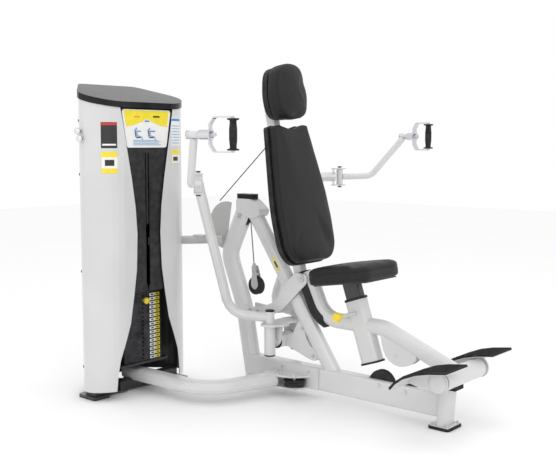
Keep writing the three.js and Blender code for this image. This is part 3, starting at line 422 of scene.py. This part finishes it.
def cast_plate():
    look = Look("cast_plate", (0.035, 0.035, 0.038), 0.46, 0.3)
    look.colour(look.noise(22.0, 6.0), (0.02, 0.02, 0.022), (0.055, 0.055, 0.06))
    look.roughness(look.noise(60.0, 4.0), 0.36, 0.6)
    look.bump(look.noise(420.0, 4.0), 0.3, 0.0006)
    return look.set(Specular_IOR_Level=0.25).material


def brushed(name, colour, roughness, stretch):
    look = Look(name, colour, roughness, 1.0)
    look.roughness(look.noise(60.0, 4.0, stretch), roughness * 0.7, roughness * 1.4)
    look.bump(look.noise(120.0, 3.0, stretch), 0.06, 0.0002)
    return look.material


def glossy_yellow():
    look = Look("glossy_yellow", (0.82, 0.60, 0.02), 0.3)
    look.colour(look.noise(30.0), (0.76, 0.54, 0.015), (0.88, 0.66, 0.03))
    look.bump(look.noise(500.0), 0.05, 0.0003)
    return look.set(Coat_Weight=0.3).material


def glossy_black():
    look = Look("glossy_black_cap", (0.02, 0.02, 0.021), 0.2)
    look.colour(look.noise(12.0), (0.016, 0.016, 0.017), (0.026, 0.026, 0.028))
    look.roughness(look.noise(60.0), 0.14, 0.26)
    look.bump(look.noise(500.0), 0.03, 0.0003)
    return look.set(Specular_IOR_Level=0.14).material


def sheathed_cable():
    look = Look("sheathed_cable", (0.03, 0.03, 0.03), 0.4)
    look.colour(look.noise(80.0), (0.02, 0.02, 0.02), (0.05, 0.05, 0.05))
    look.bump(look.noise(900.0, 2.0, (1.0, 1.0, 0.2)), 0.3, 0.0003)
    return look.material


def printed(name, colour, roughness=0.35):
    look = Look(name, colour, roughness)
    tint = tuple(min(1.0, c * 1.06 + 0.004) for c in colour)
    look.colour(look.noise(26.0), colour, tint)
    look.roughness(look.noise(70.0), roughness - 0.05, roughness + 0.08)
    look.bump(look.noise(800.0), 0.03, 0.0002)
    return look.material


PAINT = powder_coat("powder_coat_white", (0.63, 0.63, 0.63), (0.66, 0.66, 0.66))
GREY_PAINT = powder_coat("powder_coat_grey", (0.42, 0.415, 0.41), (0.48, 0.475, 0.47))
# black powder coat on dark parts; also put inside the casings as painted shade
BLACK_PAINT_AND_SHADE = powder_coat("powder_coat_black", (0.018, 0.018, 0.019), (0.03, 0.03, 0.032))
BLACK_PLASTIC = moulded_plastic("black_plastic_grained", (0.012, 0.012, 0.013), (0.03, 0.03, 0.032))
SHIELD_PLASTIC = moulded_plastic("smoked_plastic", (0.02, 0.02, 0.021), (0.04, 0.04, 0.042), 0.3)
VINYL = vinyl_leather()
RIBBED = ribbed_rubber()
RUBBER = soft_rubber()
IRON = cast_plate()
STEEL = brushed("brushed_steel", (0.62, 0.63, 0.65), 0.26, (1.0, 1.0, 12.0))
CHROME = brushed("polished_chrome", (0.78, 0.79, 0.80), 0.12, (1.0, 1.0, 20.0))
YELLOW = glossy_yellow()
GLOSSY_BLACK = glossy_black()
CABLE = sheathed_cable()
PRINT = {
    "white": printed("print_white", (0.82, 0.82, 0.81)),
    "yellow": printed("print_yellow", (0.86, 0.70, 0.03)),
    "blue": printed("print_blue", (0.05, 0.22, 0.52)),
    "pale": printed("print_pale_blue", (0.22, 0.42, 0.66)),
    "red": printed("print_red", (0.55, 0.03, 0.03)),
    "black": printed("print_black", (0.02, 0.02, 0.02)),
    "orange": printed("print_orange", (0.80, 0.30, 0.04)),
}
SLOT_LOOKS = {
    "frame_paint": PAINT, "grey_paint": GREY_PAINT, "dark_steel": BLACK_PAINT_AND_SHADE, "bright_steel": STEEL,
    "chrome": CHROME, "black_plastic": BLACK_PLASTIC, "upholstery": VINYL,
    "rubber": RUBBER, "weight_iron": IRON, "knob_yellow": YELLOW, "cable_black": CABLE,
    "sign_sheet": PRINT["white"],
}
NODE_LOOKS = {
    "stack_shield": SHIELD_PLASTIC, "foot_plate_right": RIBBED, "foot_plate_left": RIBBED,
    "stack_cable": PRINT["white"], "tower_cap": GLOSSY_BLACK, "apex_cap": GLOSSY_BLACK,
}
ROUNDED_NODES = {"tower_cap": 0.009, "placard": 0.0012, "apex_cap": 0.002, "cross_tube": 0.0008}
SMOOTH_ANGLE = math.radians(36)


def dress_nodes():
    """Each CAD node gets its slot's look and smooth shading; a few get rounded edges or a second look, and
    the casings get black on their inner faces as painted shade.
    """
    for part in frame["record"]["subparts"]:
        node = NODES[part["node"]]
        node.data.materials.clear()
        node.data.materials.append(NODE_LOOKS.get(part["node"], SLOT_LOOKS[part["material_slot"]]))
        for polygon in node.data.polygons:
            polygon.use_smooth = True
        node.data.set_sharp_from_angle(angle=SMOOTH_ANGLE)
    for name, width in ROUNDED_NODES.items():
        soften(NODES[name], width, 4)
    # painted shade: black on the casings' inner faces
    for name in ("shroud_right", "shroud_left"):
        shade_casing_inside(NODES[name])
    tip_pull_pin(NODES["pull_pin"])


def shade_casing_inside(node):
    """The casing's inner faces, which face the middle of the tower, get black paint as painted shade for the
    shaded gap between casing and weight stack.
    """
    node.data.materials.append(BLACK_PAINT_AND_SHADE)
    middle = place(TOWER_MIDDLE_X, TOWER_Y, 0.0)
    for polygon in node.data.polygons:
        centre = node.matrix_world @ polygon.center
        outward = (centre - middle).to_2d()
        if outward.dot((node.matrix_world.to_3x3() @ polygon.normal).to_2d()) < -0.01:
            # painted shade: inward-facing faces take the black paint
            polygon.material_index = 1


def tip_pull_pin(node):
    """The pull pin's rod is white and only its knob is yellow."""
    node.data.materials.append(PAINT)
    for polygon in node.data.polygons:
        if (node.matrix_world @ polygon.center).y > KNOB_START_Y * MM:
            polygon.material_index = 1


def finish_piece(obj, body, look):
    obj.data.materials.clear()
    obj.data.materials.append(look)
    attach(obj, body)
    return obj


# ---------------------------------------------------------------- upholstery
CLOTH_FRAMES = 16
CLOTH_PRESSURE = 3.0
CLOTH_CAP = 0.007  # metres
PIPING_RADIUS = 0.0022  # metres
GROOVE_RINGS = (8, 9)  # the two rings of a cushion that its piping lies between


def inflate(obj):
    """Cloth with a little air in it, run once and applied, with each point's travel capped."""
    rest = [v.co.copy() for v in obj.data.vertices]
    cloth = obj.modifiers.new("cloth", "CLOTH")
    cloth.settings.use_pressure = True
    cloth.settings.uniform_pressure_force = CLOTH_PRESSURE
    cloth.settings.effector_weights.gravity = 0.0
    cloth.settings.quality = 6
    cloth.point_cache.frame_start = 1
    cloth.point_cache.frame_end = CLOTH_FRAMES
    scene = bpy.context.scene
    for number in range(1, CLOTH_FRAMES + 1):
        scene.frame_set(number)
    evaluated = obj.evaluated_get(bpy.context.evaluated_depsgraph_get())
    moved = [v.co.copy() for v in evaluated.data.vertices]
    obj.modifiers.remove(cloth)
    scene.frame_set(1)
    for vertex, before, after in zip(obj.data.vertices, rest, moved):
        travel = after - before
        if travel.length > CLOTH_CAP:
            travel = travel.normalized() * CLOTH_CAP
        vertex.co = before + travel


def cushion(name, node, body, outline_points, thick, crown, to_world, middle):
    """A stuffed pad: flat back, full sides, a sewn seam round the front edge and a crowned face.

    outline_points are the CAD pad's own outline, to_world takes (u, v, depth) in millimetres, and
    middle is the centre of the outline.
    """
    margin = 5.0
    outline = inset_outline(rounded_outline(outline_points), margin)
    centre = Vector(middle)
    front = thick - margin
    edge = [
        (10.0, 2.0), (3.0, 5.0), (0.0, 12.0), (-1.0, 0.42 * thick), (0.0, front - 27.0), (2.4, front - 24.0),
        (2.4, front - 22.0), (0.0, front - 19.0), (3.0, front - 9.0), (9.0, front - 3.0),
    ]
    rings = [[(p, depth) for p in inset_outline(outline, inset)] for inset, depth in edge]
    last = [p for p, _ in rings[-1]]
    for share in (0.9, 0.76, 0.58, 0.38, 0.18):
        lift = crown * (1.0 - share ** 2)
        rings.append([(centre + (p - centre) * share, front - 1.5 + lift) for p in last])
    back = [p for p, _ in rings[0]]
    for share in (0.8, 0.5, 0.2):
        rings.insert(0, [(centre + (p - centre) * share, 1.0) for p in back])
    work = Builder()
    work.ring_stack([[to_world(p.x, p.y, depth) for p, depth in ring] for ring in rings])
    pad = work.piece(name, smooth=True)
    inflate(pad)
    subdivide = pad.modifiers.new("subdivision", "SUBSURF")
    subdivide.levels = 1
    subdivide.render_levels = 1
    finish_piece(pad, body, VINYL)
    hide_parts(node)
    seam = Builder()
    points = [v.co.copy() for v in pad.data.vertices]
    lower, upper = (points[k * len(outline):(k + 1) * len(outline)] for k in GROOVE_RINGS)
    path = [(a + b) / 2 for a, b in zip(lower, upper)]
    seam.tube(path + path[:2], PIPING_RADIUS, 8)
    finish_piece(seam.piece(name + "_piping", smooth=True), body, VINYL)


def leaned(angle, x, z):
    """A function that takes (across, up, depth) of a pad on a leaning post to the row frame."""
    def to_world(u, v, depth):
        return place(
            x + depth * math.cos(angle) - v * math.sin(angle), u,
            z + depth * math.sin(angle) + v * math.cos(angle),
        )
    return to_world


def make_cushions():
    back = leaned(RECLINE, *BACK_AT)
    cushion("backrest_cushion", "back_pad", "carriage", BACK_OUTLINE, BACK_THICK, 7.0,
            lambda u, v, d: back(u, v, d - BACK_THICK), (0.0, 350.0))
    head = leaned(HEAD_RECLINE, *HEAD_AT)
    cushion("headrest_cushion", "head_pad", "carriage", HEAD_OUTLINE, HEAD_THICK, 9.0,
            lambda u, v, d: head(u, v, d + HEAD_LOW), (0.0, 0.0))

    def seat(u, v, depth):
        d = depth + SEAT_LOW
        return place(
            SEAT_AT[0] + u * math.cos(SEAT_TILT) - d * math.sin(SEAT_TILT), v,
            SEAT_AT[1] + u * math.sin(SEAT_TILT) + d * math.cos(SEAT_TILT),
        )
    cushion("seat_cushion", "seat_pad", "seat", SEAT_OUTLINE, SEAT_THICK, 6.0, seat, (0.0, 0.0))


# ---------------------------------------------------------------- tower
def plan_point(side, distance, lift):
    """A point on the casing, a distance round its plan from the front corner, lifted off its skin."""
    travelled = 0.0
    for (x0, w0), (x1, w1) in zip(PLAN, PLAN[1:]):
        length = math.hypot(x1 - x0, w1 - w0)
        if travelled + length >= distance:
            t = (distance - travelled) / length
            normal = Vector((w1 - w0, x0 - x1)).normalized()
            x = x0 + (x1 - x0) * t + normal.x * lift
            w = w0 + (w1 - w0) * t + normal.y * lift
            return x, TOWER_Y + side * w
        travelled += length
    return PLAN[-1][0], TOWER_Y + side * PLAN[-1][1]


def casing_label(name, side, start, width, low, high, colour, lift=0.4):
    """A thin printed label that follows the casing's curve."""
    columns = 8
    inner, outer = [], []
    for z in (low, high):
        for i in range(columns + 1):
            distance = start + width * i / columns
            x, y = plan_point(side, distance, lift)
            inner.append(place(x, y, z))
            x, y = plan_point(side, distance, lift + 0.5)
            outer.append(place(x, y, z))
    count = columns + 1
    faces = []
    for i in range(columns):
        faces.append((i, i + 1, count + i + 1, count + i))
        faces.append((2 * count + i, 3 * count + i, 3 * count + i + 1, 2 * count + i + 1))
        faces.append((i, 2 * count + i, 2 * count + i + 1, i + 1))
        faces.append((count + i, count + i + 1, 3 * count + i + 1, 3 * count + i))
    faces.append((0, count, 3 * count, 2 * count))
    faces.append((columns, 2 * count + columns, 3 * count + columns, count + columns))
    obj = mesh_piece(name, inner + outer, faces)
    return finish_piece(obj, "frame", PRINT[colour])


def make_labels():
    """Generic coloured labels on both casings, with no lettering."""
    casing_label("right_label_black", -1, 34, 76, 1202, 1322, "black")
    casing_label("right_label_red", -1, 36, 72, 1308, 1320, "red", 1.0)
    casing_label("right_label_note", -1, 40, 64, 1214, 1222, "white", 1.0)
    casing_label("right_label_lower", -1, 34, 76, 1085, 1185, "yellow")
    casing_label("right_label_lower_field", -1, 35, 74, 1108, 1160, "white", 1.0)
    casing_label("right_label_lower_mark", -1, 50, 44, 1120, 1148, "black", 1.6)
    casing_label("left_chart", 1, 4, 84, 1212, 1350, "white")
    casing_label("left_chart_head", 1, 6, 80, 1334, 1346, "blue", 1.0)
    for row in range(7):
        z = 1224 + row * 14
        casing_label("left_chart_row_%d" % row, 1, 9, 70, z, z + 4, "pale", 1.0)
    casing_label("left_label_yellow", 1, 4, 84, 1126, 1190, "yellow")
    casing_label("left_label_field", 1, 6, 80, 1128, 1168, "white", 1.0)
    casing_label("left_label_mark", 1, 14, 40, 1138, 1158, "black", 1.6)
    leg_sticker()


def leg_sticker():
    """A small yellow and black sticker along the flat side of each front leg tube."""
    for name, side in SIDES.items():
        for index, (shape, colour) in enumerate((((-36, -8, 36, 8), "yellow"), ((-18, -5, 18, 5), "black"))):
            u0, v0, u1, v1 = shape
            work = Builder()
            origin = place(-400, side * (30.25 + PRINT_STEP * index), 630.5)
            across = Vector((0, side, 0)).cross(LEG_DOWN)
            work.slab([(u0, v0), (u1, v0), (u1, v1), (u0, v1)], origin, LEG_DOWN, across, PRINT_THICK)
            sticker = work.piece("leg_sticker_%s_%s" % (name, colour))
            finish_piece(sticker, "frame", PRINT[colour])


def make_placard():
    """Printed faces in front of the placard: a yellow band over a white field with abstract figures."""
    def sheet(name, outline, colour, layer):
        work = Builder()
        origin = place(PLACARD_FRONT + PRINT_STEP * layer, TOWER_Y, 0.0)
        work.slab(outline, origin, (0, 1, 0), (0, 0, 1), PRINT_THICK)
        finish_piece(work.piece(name), "frame", PRINT[colour])

    low_z, high_z, low_w, high_w = 1208.0, 1380.0, 112.0, 142.0

    def half(z):
        return low_w + (high_w - low_w) * (z - low_z) / (high_z - low_z)

    wave = [(half(1300) - 2 * half(1300) * k / 16, 1316 - 12 * math.cos(math.pi * k / 8)) for k in range(17)]
    upper = [(-half(high_z), high_z), (half(high_z), high_z)]
    sheet("placard_band", [(u, v) for u, v in wave][::-1] + upper[::-1], "yellow", 0)
    sheet("placard_oval", ellipse(0, 1330, 24, 8, 24), "white", 1)
    sheet("placard_oval_core", ellipse(0, 1330, 17, 4, 24), "blue", 2)
    bars = [(60, 1352, 42, 8), (-62, 1350, 36, 7)]
    for index, (u, v, w, h) in enumerate(bars):
        sheet("placard_bar_%d" % index, rectangle(u, v, w, h), "black" if index == 0 else "orange", 1)
    for index, centre in enumerate((-48, 34)):
        figure(sheet, index, centre)
    for row in range(4):
        v = 1216 + row * 7
        end = 86 - 14 * (row % 2)
        sheet("placard_line_%d" % row, [(-88, v), (end, v), (end, v + 3), (-88, v + 3)], "pale", 1)


def figure(sheet, index, centre):
    """An abstract seated figure made of plain bars and a round head."""
    def bar(name, x0, y0, x1, y1, width, colour):
        along = Vector((x1 - x0, y1 - y0)).normalized()
        across = Vector((-along.y, along.x)) * width / 2
        a, b = Vector((x0, y0)), Vector((x1, y1))
        outline = [a - across, b - across, b + across, a + across]
        sheet("%s_%d" % (name, index), [(p.x + centre, p.y) for p in outline], colour, 1)

    bar("figure_seat", -20, 1252, 6, 1252, 5, "black")
    bar("figure_back", -22, 1254, -28, 1290, 5, "black")
    bar("figure_body", -14, 1258, -18, 1284, 9, "pale")
    bar("figure_leg", -12, 1260, 14, 1254, 6, "pale")
    bar("figure_shin", 14, 1256, 20, 1238, 5, "pale")
    bar("figure_arm", -16, 1282, 8 + 10 * index, 1282, 5, "blue")
    sheet("figure_head_%d" % index, ellipse(centre - 19, 1293, 6, 6, 16), "pale", 1)


def make_stack_details():
    """A white label and a yellow mark on each weight, each with a dark bar and no lettering."""
    for body, first, last in (("frame", 0, PIN_PLATE - 1), ("stack", PIN_PLATE, PLATE_COUNT - 1)):
        white, yellow, dark = Builder(), Builder(), Builder()
        for index in range(first, last + 1):
            z = PLATE_LOW + index * PLATE_PITCH + 10.2
            origin = place(PLATE_FRONT + 0.2, TOWER_Y, z)
            white.slab([(44, -7), (78, -7), (78, 7), (44, 7)], origin, (0, 1, 0), (0, 0, 1), 0.6)
            yellow.slab([(80, -7), (108, -7), (108, 7), (80, 7)], origin, (0, 1, 0), (0, 0, 1), 0.6)
            origin = place(PLATE_FRONT + 0.9, TOWER_Y, z)
            dark.slab([(52, -3.4), (70, -3.4), (70, 3.4), (52, 3.4)], origin, (0, 1, 0), (0, 0, 1), 0.4)
            dark.slab([(86, -3), (102, -3), (102, 3), (86, 3)], origin, (0, 1, 0), (0, 0, 1), 0.4)
        finish_piece(white.piece(body + "_plate_labels"), body, PRINT["white"])
        finish_piece(yellow.piece(body + "_plate_marks"), body, PRINT["yellow"])
        finish_piece(dark.piece(body + "_plate_bars"), body, PRINT["black"])


# ---------------------------------------------------------------- fasteners, caps and collars
def hex_bolt(work, at, axis, size=9.0):
    """A washer with a hexagonal head and a domed nose on it."""
    work.lathe(at, axis, [(size * 1.25, -1.0), (size * 1.25, 1.6)], 20)
    work.lathe(at, axis, [(size, 1.4), (size, 7.0), (size * 0.82, 8.2)], 6)
    work.lathe(at, axis, [(size * 0.55, 8.0), (size * 0.5, 10.5), (size * 0.2, 11.6)], 14)


def make_bolts():
    work = Builder()
    for x in (-345, -180):
        hex_bolt(work, place(x, -45.2, 132), (0, -1, 0), 5.5)
    for x, y in ((-345, -75), (-300, -112)):
        hex_bolt(work, place(x, y, FORK_TOP + 0.3), (0, 0, 1), 6.5)
    for side in SIDES.values():
        for x, z in ((-560, 386), (-508, 384)):
            hex_bolt(work, place(x, side * 44.3, z), (0, side, 0), 7.5)
        hex_bolt(work, place(-640, side * 38.0, 858), (0, side, 0), 8.0)
        hex_bolt(work, place(-230, side * 51.2, 579), (0, side, 0), 8.0)
        for x, z in ((-245, 330), (-178, 204)):
            hex_bolt(work, place(x, side * 14.2, z), (0, side, 0), 7.0)
    for x, y in ((502, -44), (502, 44), (576, -44), (576, 44)):
        hex_bolt(work, place(x, y, 15.6), (0, 0, 1), 6.0)
    finish_piece(work.piece("frame_bolts"), "frame", STEEL)
    tower = Builder()
    for side in SIDES.values():
        for z in (160, 620, 1080, 1330):
            x, y = plan_point(side, SCREW_DISTANCE, 0.3)
            x_out, y_out = plan_point(side, SCREW_DISTANCE, 10.0)
            profile = [(7, -0.2), (7, 1.2), (5, 3.0), (2, 3.6)]
            tower.lathe(place(x, y, z), (x_out - x, y_out - y, 0), profile, 16)
    finish_piece(tower.piece("casing_screws", smooth=True), "frame", BLACK_PAINT_AND_SHADE)


def make_foot_flange():
    """White steel flange on the rubber foot, round the front post."""
    post = rounded_outline([(566, 53, 26), (514, 53, 26), (514, -53, 26), (566, -53, 26)], 5, 200.0)
    rim = rounded_outline([(586, 57, 8), (492, 57, 8), (492, -57, 8), (586, -57, 8)], 5, 200.0)
    loops = []
    for outline, z in ((rim, 12.2), (rim, 15.4), (post, 15.4), (post, 12.2)):
        loops.append([place(p.x, p.y, z) for p in outline])
    finish_piece(mesh_piece("foot_flange", *ring_tube(loops)), "frame", PAINT)


def make_casing_knobs():
    """A pair of chromed knobs on the outer side of the right casing."""
    work = Builder()
    profile = [(7, 0.3), (7, 9.0), (14, 11.0), (17, 15.0), (17, 22.0), (13, 26.0), (4, 27.5)]
    for x, z in ((-962, 1280), (-948, 1246)):
        work.lathe(place(x, TOWER_Y - 299.2, z), (0, -1, 0), profile, 28)
    finish_piece(work.piece("casing_knobs", smooth=True), "frame", CHROME)


def make_sleeve_rim():
    """A black plastic rim at the lower end of the seat sleeve."""
    down = Vector((math.sin(POST_LEAN), 0.0, -math.cos(POST_LEAN)))
    forward = Vector((math.cos(POST_LEAN), 0.0, math.sin(POST_LEAN)))
    foot = place(*SLEEVE_TOP) + down * SLEEVE_LENGTH * MM
    outer = rounded_outline([(54, 32, 18), (-54, 32, 18), (-54, -32, 18), (54, -32, 18)], 5, 40.0)
    inner = inset_outline(outer, 8.4)
    loops = []
    for outline, along in ((outer, 0.0), (inner, 0.0), (inner, 9.0), (outer, 9.0)):
        level = foot + down * along * MM
        loops.append([level + forward * p.x * MM + Vector((0, p.y * MM, 0)) for p in outline])
    rim = mesh_piece("sleeve_rim", *ring_tube(loops))
    finish_piece(rim, "carriage", BLACK_PLASTIC)


def make_collars():
    """Rings, caps and nuts where the arms, housings, tubes and handles end."""
    housing = Builder()
    for side in SIDES.values():
        housing.lathe(place(ARM_X, side * 50.3, 255), (0, side, 0), [(37, 0.0), (37, 4.0), (34, 6.0)], 28)
    finish_piece(housing.piece("housing_rings", smooth=True), "frame", BLACK_PLASTIC)
    for name, side in SIDES.items():
        cap = Builder()
        profile = [(23, 0.0), (23.6, 2.0), (22, 7.0), (14, 10.0), (4, 10.8)]
        cap.lathe(place(ARM_X, side * ARM_Y, 408.3), (0, 0, 1), profile, 28)
        arm_cap = cap.piece("arm_cap_" + name, smooth=True)
        finish_piece(arm_cap, name + "_arm", BLACK_PLASTIC)
        soften(arm_cap, 0.0006)
        foot = Builder()
        profile = [(28, 0.0), (28, 4.0), (24, 8.0), (8, 9.5)]
        foot.lathe(place(ARM_X, side * ARM_Y, 195.7), (0, 0, -1), profile, 28)
        yoke_cap = foot.piece("yoke_cap_" + name, smooth=True)
        finish_piece(yoke_cap, "press_yoke", BLACK_PLASTIC)
        ends = Builder()
        profile = [(43, 0.0), (43, 3.0), (38, 7.0), (10, 8.2)]
        ends.lathe(place(604, side * 182.2, 243), (0, side, 0), profile, 32)
        finish_piece(ends.piece("cross_tube_cap_" + name, smooth=True), "carriage", PAINT)
        hub = Vector((HUB_AT[0], side * HUB_AT[1], HUB_AT[2]))
        axis = Vector((HUB_AXIS[0], HUB_AXIS[1] * side, 0))
        ring = Builder()
        ring.lathe(place(*(hub - axis * 25)), axis, [(12, -6.0), (18, -4.0), (18, 6.0), (16, 8.0)], 24)
        finish_piece(ring.piece("hub_ring_" + name, smooth=True), name + "_handle", STEEL)
        nut = Builder()
        nut.lathe(place(*(hub + axis * 84.3)), axis, [(14, 0.0), (14, 7.0), (12, 8.5)], 6)
        nut.lathe(place(*(hub + axis * 92.0)), axis, [(8, 0.0), (7.6, 5.0), (4, 7.0)], 16)
        finish_piece(nut.piece("hub_nut_" + name), name + "_hand", STEEL)
        pins = Builder()
        for end in (-1, 1):
            at = place(-430, side * 530, 1045 + end * 51.5)
            pins.lathe(at, (0, 0, end), [(12, 0.0), (12, 3.0), (8, 5.0)], 20)
        caps = pins.piece("clevis_caps_" + name, smooth=True)
        finish_piece(caps, name + "_arm", BLACK_PLASTIC)


def make_foot_trays():
    """A white steel tray under each rubber foot plate, and rubber ribs along its top."""
    profile = [(442, 206.4), (468, 236.4), (503, 262.4), (563, 287.4), (623, 302.4), (703, 314.4)]
    for name, side in SIDES.items():
        low, high = (112, 288) if side > 0 else (-288, -112)
        work = Builder()
        clear = [(x + 0.3, z + 0.2) for x, z in profile]
        under = [(x + 1.8, z - 2.0) for x, z in profile]
        ring = clear + under[::-1]
        work.ring_stack([[place(x, y, z) for x, z in ring] for y in (low, high)])
        finish_piece(work.piece("foot_tray_" + name), "carriage", PAINT)
        ribs = Builder()
        top = [(x - 0.4, z + 9.2) for x, z in profile]
        for k in range(13):
            y = low + 10 + k * (high - low - 20) / 12
            strip = [(x - 3, z + 0.4) for x, z in top]
            crest = [(x - 3.4, z + 2.2) for x, z in top]
            ring = strip[1:] + crest[1:][::-1]
            ribs.ring_stack([[place(x, y + edge, z) for x, z in ring] for edge in (-2.2, 2.2)])
        finish_piece(ribs.piece("foot_ribs_" + name), "carriage", RUBBER)


# ---------------------------------------------------------------- build
make_camera()
make_studio()
dress_nodes()
make_cushions()
make_labels()
make_placard()
make_stack_details()
make_bolts()
make_collars()
make_foot_flange()
make_casing_knobs()
make_sleeve_rim()
make_foot_trays()
